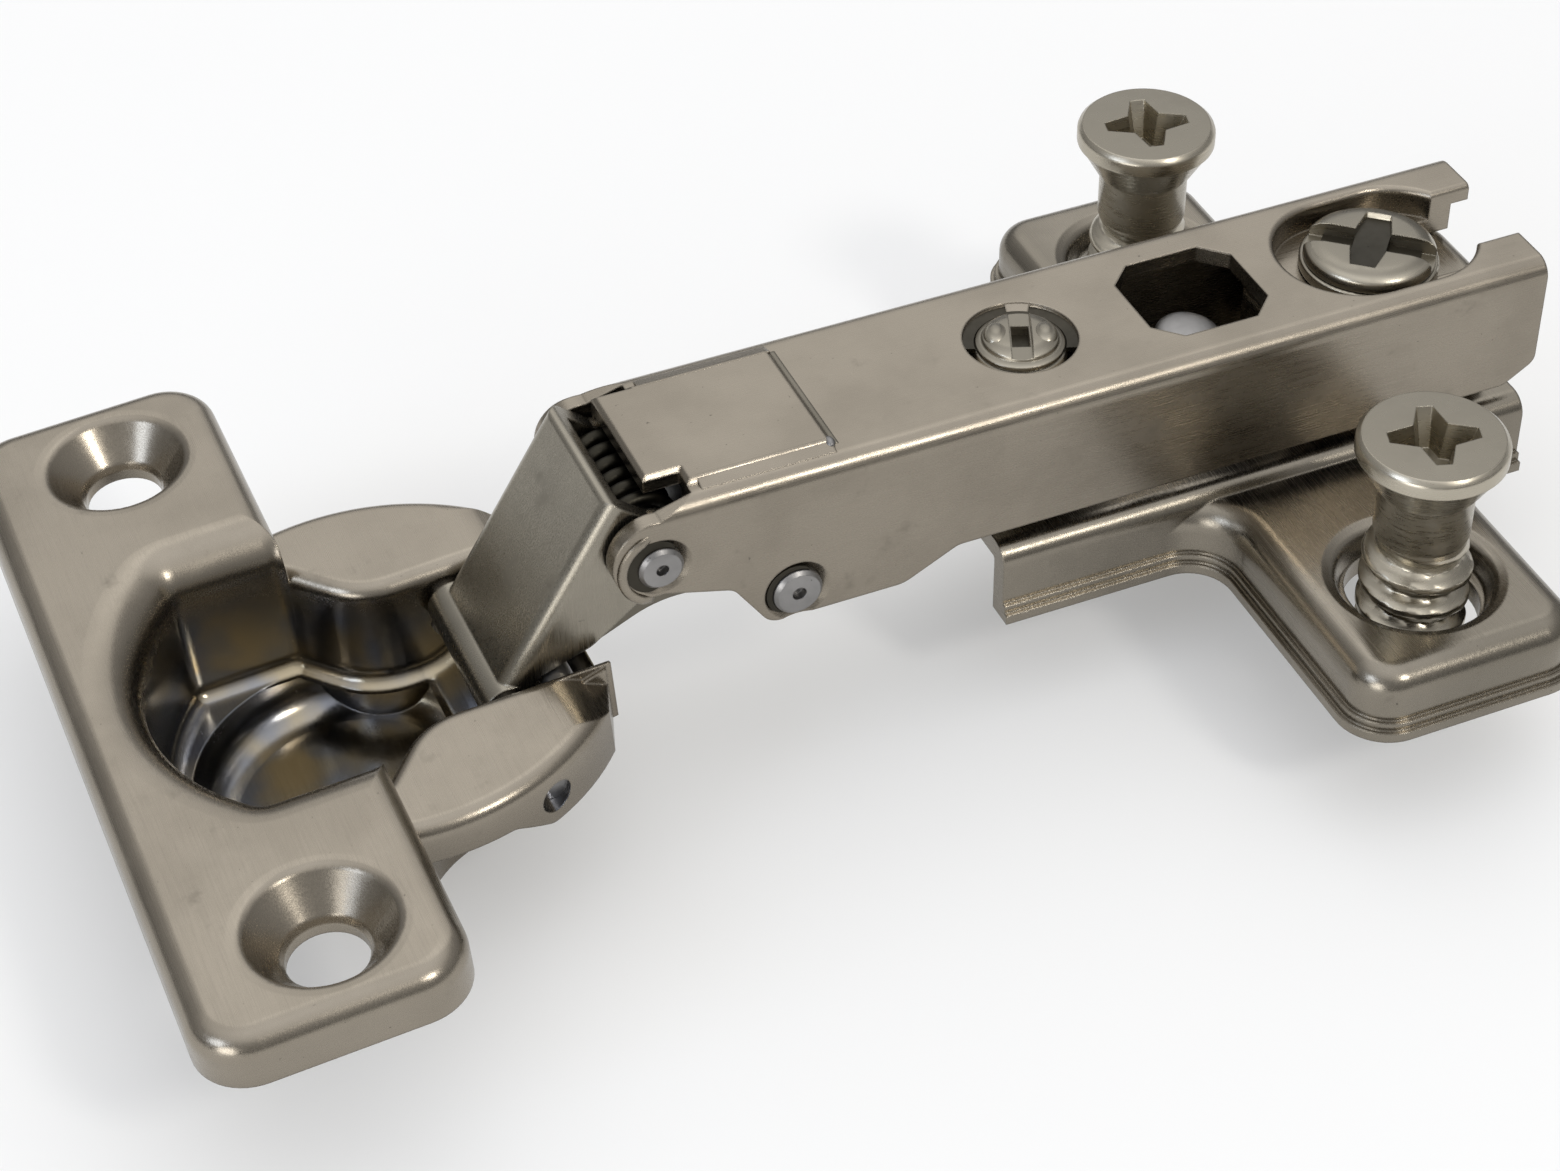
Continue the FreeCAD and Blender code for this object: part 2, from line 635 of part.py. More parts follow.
def make_arm():
    side = slab_xz([
        (ARM_REAR, ARM_TOP), (ARM_FRONT, ARM_TOP, 0.6), (LOBE_CENTRE[0], LOBE_CENTRE[1] + LOBE_R - 0.1, 1.0),
        (LOBE_CENTRE[0] - 1.0, LOBE_CENTRE[1]), (LOBE_CENTRE[0] - 0.4, LOBE_CENTRE[1] - LOBE_R + 0.25),
        (REAR_PIN[0] - 3.6, REAR_PIN[1] + 1.3, 1.0), (REAR_PIN[0] - 1.6, REAR_PIN[1] - 1.7, 1.2),
        (REAR_PIN[0] + 6.2, REAR_PIN[1] - 1.7, 1.8), (REAR_PIN[0] + 9.4, ARM_BOTTOM, 1.2),
        (ARM_REAR - 1.9, ARM_BOTTOM, 0.8), (ARM_REAR, ARM_BOTTOM + 1.2, 0.8)], -ARM_HALF, ARM_HALF)
    side = side.fuse(rod_y(LOBE_CENTRE, LOBE_R, -ARM_HALF, ARM_HALF))
    section = slab_yz([
        (-ARM_HALF, 0), (-ARM_HALF, ARM_TOP, ARM_BEND), (ARM_HALF, ARM_TOP, ARM_BEND),
        (ARM_HALF, 0)], -50, 20)
    inside = ARM_HALF - SHEET
    under = ARM_TOP - SHEET
    arm = side.common(section)
    channel = slab_yz([
        (-inside, 0), (-inside, under, 0.3), (inside, under, 0.3), (inside, 0)], -50, 20)
    arm = arm.cut([channel, block(-50, ARM_FRONT, -inside, inside, 0, 20)])
    arm = arm.fuse(block(TONGUE_FRONT, ARM_FRONT + 1, -TONGUE_HALF, TONGUE_FAR, under, ARM_TOP))
    pad = block(TONGUE_FRONT, PAD_REAR, -PAD_HALF, PAD_HALF, ARM_TOP - SHEET / 2, ARM_TOP + PAD_RISE)
    notches = [block(TONGUE_FRONT - 1, ARM_FRONT, -9, -TONGUE_HALF, 0, 20),
               block(TONGUE_FRONT - 1, ARM_FRONT, TONGUE_FAR, 9, 0, 20)]
    pad = pad.cut(notches)
    pad = pad.makeChamfer(PAD_RISE * 0.8, edges_at(pad, ARM_TOP + PAD_RISE))
    arm = arm.fuse(pad)
    hollow_half = PAD_HALF - 0.5
    arm = arm.cut(block(TONGUE_FRONT - 1, PAD_REAR - 0.5, -hollow_half, hollow_half, 0, under + PAD_RISE))

    # Recess for the fixing screw, open to the rear through a throat
    floor = ARM_TOP - RECESS_DEPTH
    run = RECESS_HALF + RECESS_STRAIGHT
    front = RECESS_X - run
    rear = RECESS_X + run
    sunk = block(front - SHEET, rear + SHEET * 0.7, -inside, inside, floor - SHEET, ARM_TOP - SHEET / 2)
    arm = arm.fuse(sunk)
    dish = slab_xy(rectangle(front, rear, -RECESS_HALF, RECESS_HALF, RECESS_HALF - 0.05), floor, ARM_TOP + 1)
    start = FIX_X - THROAT_HALF - DEPTH_TRAVEL
    throat = slab_xy(rectangle(start, ARM_REAR + 5, -THROAT_HALF, THROAT_HALF, THROAT_HALF - 0.05), 0, 20)
    arm = arm.cut([dish, throat])
    mouth = [e for e in edges_at(arm, ARM_TOP) if e.BoundBox.XMin > front - 1 and is_recess_edge(e)]
    arm = arm.makeFillet(RECESS_BEND, mouth)

    # Threaded collar of the adjusting screw
    arm = arm.fuse(rod_z(ADJUST_X, 0, ADJUST_R + 0.9, ARM_TOP - COLLAR_DEPTH - SHEET, ARM_TOP - SHEET / 2))
    bore_r = ADJUST_R + RUNNING
    arm = arm.cut(revolved([
        (0, 0), (bore_r, 0), (bore_r, ARM_TOP - 0.9), (ADJUST_HOLE_RIM, ARM_TOP - 0.1),
        (ADJUST_HOLE_RIM, 20), (0, 20)],
        ADJUST_X, 0))

    window = [
        (WINDOW_LEFT + WINDOW_CUT, -WINDOW_HALF), (WINDOW_RIGHT - WINDOW_CUT, -WINDOW_HALF),
        (WINDOW_RIGHT, WINDOW_CUT - WINDOW_HALF), (WINDOW_RIGHT, WINDOW_HALF - WINDOW_CUT),
        (WINDOW_RIGHT - WINDOW_CUT, WINDOW_HALF), (WINDOW_LEFT + WINDOW_CUT, WINDOW_HALF),
        (WINDOW_LEFT, WINDOW_HALF - WINDOW_CUT), (WINDOW_LEFT, WINDOW_CUT - WINDOW_HALF)]
    arm = arm.cut(slab_xy(window, ARM_TOP - 2 * SHEET, 20))
    pins = [rod_y(FRONT_PIN, FRONT_PIN_R, -8, 8), rod_y(REAR_PIN, REAR_PIN_R, -8, 8)]
    return arm.cut(pins + [rivet_sink(FRONT_PIN, FRONT_PIN_R), rivet_sink(REAR_PIN, REAR_PIN_R)])


def drive_cross(x, y, top):
    """Cross recess for a driver."""
    narrow = DRIVE_WIDTH / 2
    floor = top - DRIVE_DEPTH
    arms = [block(x - DRIVE_HALF, x + DRIVE_HALF, y - narrow, y + narrow, floor, top + 1),
            block(x - narrow, x + narrow, y - DRIVE_HALF, y + DRIVE_HALF, floor, top + 1)]
    return arms[0].fuse(arms[1])


def make_adjusting_screw():
    plate_under = PLATE_TOP - PLATE_SHEET
    foot_top = plate_under - SEAT_GAP
    screw = revolved([
        (0, ADJUST_TOP), (ADJUST_R - 1.2, ADJUST_TOP - 0.1, 0.8), (ADJUST_R, ADJUST_TOP - ADJUST_DOME, 0.6),
        (ADJUST_R, ADJUST_BODY_END), (ADJUST_NECK_R, ADJUST_BODY_END - 0.9),
        (ADJUST_NECK_R, foot_top), (ADJUST_FOOT_R, foot_top), (ADJUST_FOOT_R, foot_top - ADJUST_FOOT_H),
        (0, foot_top - ADJUST_FOOT_H)], ADJUST_X, 0)
    reach = ADJUST_R + 1
    slot = block(ADJUST_X - 0.45, ADJUST_X + 0.45, -reach, reach, ADJUST_TOP - 1.3, ADJUST_TOP + 1)
    cross = block(ADJUST_X - 1.5, ADJUST_X + 1.5, -0.4, 0.4, ADJUST_TOP - 1.6, ADJUST_TOP + 1)
    return screw.cut([slot, cross])


def recess_floor():
    return ARM_TOP - RECESS_DEPTH


def make_washer():
    low = recess_floor() + SEAT_GAP
    ring = rod_z(FIX_X, 0, WASHER_R, low, low + WASHER_H)
    ring = ring.makeFillet(0.15, ring.Edges[0:1])
    return ring.cut(rod_z(FIX_X, 0, FIX_SHANK_R + 0.15, 0, 30))


def make_fixing_screw():
    seat = recess_floor() + SEAT_GAP + WASHER_H
    top = seat + FIX_HEAD_H
    screw = revolved([
        (0, top), (FIX_HEAD_R - 0.7, top, 0.6), (FIX_HEAD_R, top - 0.35, 0.2), (FIX_HEAD_R, seat),
        (FIX_SHANK_R, seat), (FIX_SHANK_R, FIX_END + 0.6), (FIX_SHANK_R - 0.6, FIX_END),
        (0, FIX_END)], FIX_X, 0)
    cross = drive_cross(FIX_X, 0, top)
    return screw.cut(cross)


def plate_plan(grow):
    """Cross-shaped plan of the plate with rounded inner and outer corners."""
    rail = RAIL_HALF + grow
    wing = WING_HALF + grow
    end = WING_END + grow
    quarter = [(-wing, rail, WING_THROAT - grow), (-wing, end, WING_CORNER + grow)]
    upper = quarter + [(wing, end, WING_CORNER + grow), (wing, rail, WING_THROAT - grow)]
    lower = [(-x, -y, r) for x, y, r in upper]
    rear = [(RAIL_REAR, rail), (RAIL_REAR, -rail)]
    return [(RAIL_FRONT, rail)] + upper + rear + lower + [(RAIL_FRONT, -rail)]


def make_plate():
    rail_ends = RAIL_FRONT - 2, RAIL_REAR + 2
    pan = slab_xy(plate_plan(0), 0, WING_TOP)
    rim = [e for e in edges_at(pan, WING_TOP) if not is_rail_end(e)]
    pan = pan.makeFillet(PLATE_BEND, rim)
    rail = slab_yz([
        (-RAIL_HALF, 0), (-RAIL_HALF, PLATE_TOP, RAIL_BEND), (RAIL_HALF, PLATE_TOP, RAIL_BEND),
        (RAIL_HALF, 0)],
        RAIL_FRONT, RAIL_REAR)
    lips = [slab_xy(plate_plan(LIP), 0, LIP_H), slab_xy(plate_plan(LIP / 2), 0, LIP_H + LIP_STEP)]
    boss_top = recess_floor() - SHEET - SEAT_GAP
    boss_plan = rectangle(BOSS_FRONT, BOSS_REAR, -BOSS_HALF, BOSS_HALF, BOSS_CORNER)
    boss = slab_xy(boss_plan, PLATE_TOP - 1.0, boss_top)
    boss = boss.makeFillet(1.0, edges_at(boss, boss_top))
    pan = pan.fuse([rail, boss] + lips)

    wall = PLATE_SHEET
    hollow = slab_xy(plate_plan(-wall), -1, WING_TOP - wall)
    through = slab_yz(rectangle(wall - RAIL_HALF, RAIL_HALF - wall, -1, PLATE_TOP - wall, 0.2), *rail_ends)
    room_half = BOSS_HALF - wall
    room = slab_xy(rectangle(BOSS_FRONT + wall, BOSS_REAR - wall, -room_half, room_half, BOSS_CORNER - 0.8),
                   0, boss_top - wall)
    pan = pan.cut([hollow, through, room])
    collar = rod_z(FIX_X, 0, FIX_SHANK_R + 1.1, boss_top - 3.2, boss_top - 0.5)
    pan = pan.fuse(collar).cut(rod_z(FIX_X, 0, FIX_SHANK_R + RUNNING, 0, 30))
    slot_half = ADJUST_NECK_R + 0.2
    slot_end = ADJUST_X + DEPTH_TRAVEL + slot_half + 0.3
    slot = slab_xy([
        (RAIL_FRONT - 1, -slot_half), (slot_end, -slot_half, slot_half * 0.98),
        (slot_end, slot_half, slot_half * 0.98),
        (RAIL_FRONT - 1, slot_half)], 0, 20)
    pan = pan.cut(slot)
    for side in (-1, 1):
        pan = screw_seat(pan, side * EURO_PITCH / 2)
    return pan


def screw_seat(pan, y):
    """Pressed dish with a slotted hole for one euro screw."""
    low = WING_TOP - SCREW_DISH_DEPTH
    under = low - PLATE_SHEET
    dish = revolved([
        (0, WING_TOP - 0.4), (SCREW_DISH_R + 1.0, WING_TOP - 0.4),
        (SCREW_DISH_R + 0.4, WING_TOP - PLATE_SHEET),
        (SCREW_HOLE_R + 1.4, under), (0, under)], 0, y)
    cone = revolved([
        (0, WING_TOP + 1), (SCREW_DISH_R + 0.5, WING_TOP + 1), (SCREW_DISH_R + 0.5, WING_TOP),
        (SCREW_DISH_R - 0.2, WING_TOP - 0.3, 0.6), (SCREW_HOLE_R + 0.5, low), (0, low)], 0, y)
    reach = SCREW_HOLE_R + SCREW_SLOT
    hole = slab_xy(rectangle(-SCREW_HOLE_R, SCREW_HOLE_R, y - reach, y + reach, SCREW_HOLE_R - 0.02), -1, 8)
    return pan.fuse(dish).cut([cone, hole])


def is_rail_end(edge):
    if edge.BoundBox.XLength > 1e-4:
        return False
    return min(abs(edge.BoundBox.XMin - RAIL_FRONT), abs(edge.BoundBox.XMin - RAIL_REAR)) < 1e-3


def make_euro_screw(y):
    rim_low = EURO_TOP - EURO_RIM_H
    cone_low = rim_low - EURO_CONE_H
    profile = [
        (0, EURO_TOP), (EURO_FACE_R, EURO_TOP), (EURO_HEAD_R, EURO_TOP - 0.5), (EURO_HEAD_R, rim_low, 0.3),
        (EURO_NECK_R, cone_low, 0.5), (EURO_NECK_R, EURO_THREAD_TOP + 0.4), (EURO_ROOT_R, EURO_THREAD_TOP)]
    turns = int((EURO_THREAD_TOP - EURO_TIP - 1.0) / EURO_PITCH_THREAD)
    z = EURO_THREAD_TOP
    for _ in range(turns):
        profile.append((EURO_ROOT_R, z))
        profile.append((EURO_THREAD_R, z - 0.45 * EURO_PITCH_THREAD))
        profile.append((EURO_THREAD_R, z - 0.55 * EURO_PITCH_THREAD))
        z -= EURO_PITCH_THREAD
    profile += [(EURO_ROOT_R, z), (EURO_ROOT_R - 0.9, EURO_TIP), (0, EURO_TIP)]
    cleaned = [profile[0]]
    for corner in profile[1:]:
        if math.dist(corner[:2], cleaned[-1][:2]) > 1e-6:
            cleaned.append(corner)
    return revolved(cleaned, 0, y).cut(drive_cross(0, y, EURO_TOP))


def make_spring():
    """Torsion coil round the front pin with both legs towards the rear."""
    height = 2 * COIL_HALF
    coil = Part.makeHelix(height / COIL_TURNS, height, COIL_R)
    first = Part.makeLine(V(COIL_R, -SPRING_LEG, 0), V(COIL_R, 0, 0))
    last = Part.makeLine(V(-COIL_R, 0, height), V(-COIL_R, -SPRING_LEG, height))
    circle = Part.Wire(Part.makeCircle(WIRE_R, V(COIL_R, -SPRING_LEG, 0), V(0, 1, 0)))
    spring = Part.Wire([first] + coil.Edges + [last]).makePipeShell([circle], True, True)
    spring.translate(V(0, 0, -height / 2))
    turn = FreeCAD.Rotation(V(0, 0, 1), V(-1, 0, 0), V(0, -1, 0), "ZXY")
    spring.Placement = FreeCAD.Placement(V(FRONT_PIN[0], 0, FRONT_PIN[1]), turn).multiply(spring.Placement)
    return spring


save(make_cup(), "hinge_cup")
save(cup_pin(OUTER_CUP_PIN, pin_half(OUTER_CUP_PIN)), "outer_cup_pin")
save(cup_pin(INNER_CUP_PIN, pin_half(INNER_CUP_PIN)), "inner_cup_pin")
save(make_outer_link(), "outer_link")
save(make_inner_link(), "inner_link")
save(make_arm(), "hinge_arm")
save(rivet(FRONT_PIN, FRONT_PIN_R, 0.35), "front_arm_pin")
save(rivet(REAR_PIN, REAR_PIN_R, 0.4), "rear_arm_pin")
save(make_spring(), "closing_spring")
save(make_adjusting_screw(), "adjusting_screw")
save(make_washer(), "clamp_washer")
save(make_fixing_screw(), "fixing_screw")
save(make_plate(), "mounting_plate")
save(make_euro_screw(-EURO_PITCH / 2), "near_euro_screw")
save(make_euro_screw(EURO_PITCH / 2), "far_euro_screw")
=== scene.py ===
"""Looks of a small concealed cup hinge in satin nickel, standing open on a pale table.

The solids come from the frame. This file plates them, adds what is too fine for them, such
as threads, drive recesses and painted shade, and sets up the table, the lamps and the camera.
Lengths are in millimetres in the row frame unless a comment says otherwise: X runs along
the arm to its rear, Y to the far side and Z up.
"""
import bmesh
import bpy
import json
import math
from mathutils import Matrix, Vector

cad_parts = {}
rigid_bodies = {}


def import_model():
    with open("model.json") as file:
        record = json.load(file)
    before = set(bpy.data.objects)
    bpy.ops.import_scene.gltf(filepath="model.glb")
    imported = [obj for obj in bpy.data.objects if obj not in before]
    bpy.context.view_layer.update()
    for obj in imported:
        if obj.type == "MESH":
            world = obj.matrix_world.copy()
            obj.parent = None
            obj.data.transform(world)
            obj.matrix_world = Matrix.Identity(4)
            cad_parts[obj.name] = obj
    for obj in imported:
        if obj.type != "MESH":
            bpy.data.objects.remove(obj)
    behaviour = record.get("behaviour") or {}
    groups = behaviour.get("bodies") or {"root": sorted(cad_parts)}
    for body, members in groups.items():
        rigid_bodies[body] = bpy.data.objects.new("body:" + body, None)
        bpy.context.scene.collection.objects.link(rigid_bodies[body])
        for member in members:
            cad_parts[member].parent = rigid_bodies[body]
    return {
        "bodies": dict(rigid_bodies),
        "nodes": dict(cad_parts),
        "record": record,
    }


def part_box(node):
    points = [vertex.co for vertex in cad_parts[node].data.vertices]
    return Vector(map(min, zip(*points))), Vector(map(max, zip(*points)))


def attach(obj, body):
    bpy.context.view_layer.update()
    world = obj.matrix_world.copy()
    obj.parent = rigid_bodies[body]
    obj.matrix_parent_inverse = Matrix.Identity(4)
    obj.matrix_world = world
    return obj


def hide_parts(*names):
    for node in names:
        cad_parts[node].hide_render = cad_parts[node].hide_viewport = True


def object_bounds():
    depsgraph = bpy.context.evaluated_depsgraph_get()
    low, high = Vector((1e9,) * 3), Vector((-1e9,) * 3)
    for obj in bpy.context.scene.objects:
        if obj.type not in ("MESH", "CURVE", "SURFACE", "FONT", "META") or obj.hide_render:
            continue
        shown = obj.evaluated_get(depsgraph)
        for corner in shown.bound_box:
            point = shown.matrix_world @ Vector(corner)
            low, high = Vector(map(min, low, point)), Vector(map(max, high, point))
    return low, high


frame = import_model()
cad_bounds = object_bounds()

MM = 0.001  # a millimetre in the scene's metres

# Camera: angles in degrees, place and clipping in metres, sensor in millimetres, focal
# length in pixels of an image IMAGE_WIDTH wide
AZIMUTH = -22.357
ELEVATION = 41.245
ROLL = -1.098
TARGET = Vector((-35.20, -11.74, 12.34)) * MM
DISTANCE = 169.5 * MM
SENSOR = 36.0
IMAGE_WIDTH = 1560
FOCAL_PIXELS = 3381.35
CLIP_START = 0.01

# Lamps: name, azimuth and elevation in degrees, distance and width in metres, watts, colour
LAMPS = (
    ("back_softbox", 158, 42, 0.9, 0.9, 1.35, (1, 1, 1)),
    ("front_key", 24.4, 42.8, 0.8, 0.14, 1.35, (1.0, 0.97, 0.92)),
    ("low_left", -53, 9, 0.8, 0.4, 1.6, (1, 1, 1)),
    ("left_window", -75, 30, 0.9, 0.35, 1.3, (0.72, 0.82, 1.0)),
)

# Studio walls: their colour at the horizon, overhead, and at heights between the two
WALLS_LOW = (0.22, 0.22, 0.215, 1)
WALLS_HIGH = (1.45, 1.46, 1.5, 1)
WALLS_BETWEEN = (
    (0.30, (0.40, 0.40, 0.404, 1)),
    (0.64, (0.55, 0.55, 0.5555, 1)),
    (0.80, (1.05, 1.05, 1.0605, 1)),
)

# Table: half width and gap under the hinge in metres, paper, and the glow that whitens it
TABLE_HALF = 3.0
TABLE_GAP = 0.0002
TABLE_COLOUR = (0.62, 0.62, 0.615, 1)
TABLE_ROUGHNESS = 0.9
TABLE_SPECULAR = 0.2
GLOW_COLOUR = (1.0, 0.995, 0.985, 1)
GLOW_STRENGTH = 0.27

# Marks of the plating: size of their cells along X, Y and Z and how fine their noise is
CLOUDS = {"cell": (7, 7, 7), "detail": 4.0}
PITS = {"cell": (0.35, 0.35, 0.35), "detail": 2.0}
DULL_SPOTS = {"cell": (2.2, 2.2, 2.2), "detail": 5.0, "roughness": 0.65}
# Painted gold and blue reflections deep in the cup: size of their cloud cells
REFLECTION_TINTS = {"cell": (5, 5, 5), "detail": 2.0}
STREAKS = {"detail": 4.0, "roughness": 0.6}

# Marks of the plating: values of their noise between which they fade in
CLOUD_SPAN = (0.35, 0.7)
STREAK_SPAN = (0.25, 0.75)
STAIN_SPAN = (0.62, 0.80)
PIT_SPAN = (0.73, 0.80)
DULL_SPAN = (0.5, 0.8)
# Painted gold and blue reflections: noise values between which they blend
REFLECTION_TINT_SPAN = (0.38, 0.62)
# Upward part of the normal over which faces take their painted top shade
PAINTED_TOP_SHADE_SPAN = (0.75, 0.95)

# Marks of the plating: how strong they are
STAIN_SHADE = 0.72
STAIN_MOST = 0.6
PIT_SHADE = 0.35
DULL_ROUGHNESS = 0.10
STREAK_ROUGHNESS = (-0.05, 0.09)
LOW_STREAK_ROUGHNESS = (-0.03, 0.05)
STREAK_HEIGHT = 0.004
PIT_HEIGHT = 0.006
PIT_STRENGTH = 0.35
EDGE_SAMPLES = 4

# Inside of the cup: its middle, how softly the smooth finish ends, and the painted shade that
# darkens all its walls, outside too, below the low finish's upper level
CUP_MIDDLE = (-54.5, 0, 3.0)
INSIDE_BAND = 0.6
WALL_PAINTED_SHADE = 0.72
# Low finish: levels between which it sets in, its tone and dark, which are painted gold and blue
# reflections, and its gloss
CUP_LOW = {
    "upper": 4.2,
    "lower": 1.6,
    "tone": (0.34, 0.29, 0.20),
    "dark": (0.205, 0.215, 0.24),
    "gloss": 0.18,
}

# Grain: size of the brushed streaks along X, Y and Z
ALONG = (3.0, 0.07, 0.07)
ACROSS = (0.07, 3.0, 0.07)
UPRIGHT = (0.07, 0.07, 3.0)
EVEN = (0.5, 0.5, 0.5)
TURNED = (1.6, 1.6, 0.12)

# Plating of each material slot
WARM = {"tone": (0.29, 0.257, 0.209), "dark": (0.249, 0.22, 0.178)}
FINISHES = {
    "cup_steel": {
        "name": "nickel_cup", **WARM, "grain": ACROSS, "gloss": 0.24, "low": CUP_LOW},
    "arm_steel": {
        "name": "nickel_arm", **WARM, "grain": ALONG, "gloss": 0.26},
    "plate_steel": {
        "name": "nickel_plate", "tone": (0.247, 0.222, 0.182), "dark": (0.20, 0.18, 0.147),
        "grain": ACROSS, "gloss": 0.23},
    "link_steel": {
        "name": "nickel_link", "tone": (0.305, 0.28, 0.23), "dark": (0.26, 0.238, 0.196),
        "grain": UPRIGHT, "gloss": 0.26, "streak": 0.22},
    # Lever: dark tone, also worn by the pad's groove strip as painted shade
    "lever_steel": {
        "name": "nickel_lever_and_groove_shade", "tone": (0.19, 0.172, 0.14), "dark": (0.15, 0.137, 0.11),
        "grain": ALONG, "gloss": 0.32},
    "pin_steel": {
        "name": "pin_zinc", "tone": (0.30, 0.292, 0.285), "dark": (0.20, 0.195, 0.19),
        "grain": EVEN, "gloss": 0.38, "edge": 0.10, "streak": 1.6},
    # Spring wire: dark, and also worn by the dark pieces of painted shade in gaps, recesses and
    # rings
    "spring_steel": {
        "name": "spring_wire_and_painted_shade", "tone": (0.052, 0.047, 0.037), "dark": (0.034, 0.031, 0.024),
        "grain": EVEN, "gloss": 0.36, "edge": 0.05, "streak": 0.3},
    # Screws: tone raised as painted light on their sides, and faces that look up take a darker
    # share (top) as painted shade
    "screw_steel": {
        "name": "nickel_screw", "tone": (0.45, 0.412, 0.337), "dark": (0.39, 0.357, 0.29),
        "grain": TURNED, "gloss": 0.27, "edge": 0.10, "streak": 0.10, "pitted": 0.2, "top": 0.49},
}

# Pieces made here: edges sharper than this many degrees stay sharp
SHARP = 35

# Turned pieces: corners round them, levels to a turn of thread, radius at the axis,
# and the shape of a thread's crest in shares of its pitch and depth
SEGMENTS = 72
LEVELS_PER_TURN = 14
AXIS_RADIUS = 0.001
HALF_CREST = 0.36
CREST_GAIN = 1.5

# Ellipsoids: parts round and from pole to pole
EGG_SEGMENTS = 48
EGG_RINGS = 24

# Slots and crosses are cut from this far above the face
OPEN_SLOT = 0.5
OPEN_CROSS = 0.02

# Euro screws: turn of the cross in degrees, radii, border of the head's face, drops below
# the top, where the thread starts above and ends over the tip, thread
EURO_TURNS = {"near_euro_screw": -19, "far_euro_screw": -14}
EURO_NECK = 2.6
EURO_ROOT = 2.3
EURO_FACE_BORDER = 0.3
EURO_RIM_DROP = 1.1
EURO_CONE_DROP = 2.9
EURO_THREAD_DROP = 6.4
EURO_THREAD_RISE = 0.2
EURO_THREAD_END = 1.4
EURO_THREAD = {"depth": 0.72, "pitch": 1.75}

# Cross of the euro screws: half length, half widths at the tip and waist, above and below
CROSS_TOP = (2.45, 0.42, 0.92)
CROSS_FLOOR = (2.45 * 0.62, 0.26, 0.58)
CROSS_DEPTH = 2.1

# Fixing screw: turn of the slot in degrees, shank and how far it draws in, thread with its
# drop below the top and its end over the tip, half width of the slot above and below,
# outline of the cross above and below, and the same for the dark fill of painted shade in both
FIXING_TURN = -41
FIXING_SHANK = 2.15
FIXING_WAIST = 0.35
FIXING_THREAD_DROP = 1.6
FIXING_THREAD_END = 0.4
FIXING_THREAD = {"depth": 0.33, "pitch": 1.0}
FIXING_SLOT = (0.92, 0.82)
FIXING_SLOT_OVERRUN = 1
FIXING_SLOT_DEPTH = 0.95
FIXING_CROSS = ((2.6, 0.7, 1.0), (1.9, 0.45, 0.7))
FIXING_CROSS_DEPTH = 1.9
FIXING_CROSS_SHADE = ((2.5, 0.66, 0.95), (2.2, 0.5, 0.8))
FIXING_CROSS_SHADE_DROPS = (0.3, 1.7)
FIXING_SLOT_SHADE = (0.85, 0.83)
FIXING_SLOT_SHADE_BORDER = 0.9
FIXING_SLOT_SHADE_DROPS = (0.78, 1.0)

# Adjusting screw: axis, turn of its slot in degrees, rise above the solid's top, its crown
# as radii with their drops below the top, radii and length of the taper further down, how
# far the foot's rim and upper side lie above its end, thread, half length and half width of
# the slot, of its square hub and of the hub's dark fill of painted shade, and the two bulges
# beside
ADJUST_X = -16.1
ADJUST_TURN = 67.6
ADJUST_RISE = 0.02
ADJUST_CROWN = (
    (0, 0), (1.2, 0.03), (1.75, 0.14), (2.05, 0.36), (2.12, 0.58), (2.24, 0.60),
    (2.42, 0.74), (2.44, 0.92), (2.34, 0.98), (2.50, 1.04), (2.62, 1.22), (2.62, 1.42),
    (2.5, 1.48), (2.66, 1.56), (2.66, 1.80), (2.35, 1.95),
)
ADJUST_SHANK = 2.35
ADJUST_TAPER = 1.0
ADJUST_WAIST = 1.25
ADJUST_FOOT = 2.25
ADJUST_FOOT_RISE = (0.7, 0.72)
ADJUST_THREAD = {"depth": 0.32, "pitch": 0.95}
ADJUST_THREAD_DROPS = (2.0, 5.2)
ADJUST_SLOT = ((4, 0.62), (4, 0.58))
ADJUST_SLOT_DEPTH = 0.42
ADJUST_HUB = ((1.0, 0.52), (0.8, 0.42))
ADJUST_HUB_DEPTH = 2.2
ADJUST_HUB_SHADE = ((0.95, 0.48), (0.85, 0.44))
ADJUST_HUB_SHADE_DROPS = (1.0, 2.0)
BULGE_OFFSET = 1.33
BULGE_RADII = (0.68, 1.0, 0.62)

# Arm details: level of its top face; sections as (radius or Y, Z), boxes as two corners,
# rounded bits as middle and radii, arcs as their first and last degree and their steps
ARM_TOP = 13.9
# Dark ring in the gap round the adjusting screw: painted shade
GAP_SHADE_SECTION = (
    (2.5, ARM_TOP - 0.6), (2.5, ARM_TOP - 0.32), (3.13, ARM_TOP - 0.2), (3.13, ARM_TOP - 0.6))
GAP_SHADE_ARC = (-35, 170, 48)
BRIDGE_SECTION = (
    (2.56, ARM_TOP - 0.62), (2.56, ARM_TOP - 0.36), (3.25, ARM_TOP - 0.02),
    (3.25, ARM_TOP - 0.62))
BRIDGE_ARC = (55, 80, 8)
TONGUE = ((-6.9, -2.1, ARM_TOP - 1.35), (1.8, 2.1, 0.7))
# Dark block inside the arm's front: partly the spring's end, partly painted shade that hides the
# view through to the table
SPRING_END_AND_SHADE_BLOCK = ((-36.8, -2.5, 8.9), (-35.4, 2.5, 12.3))
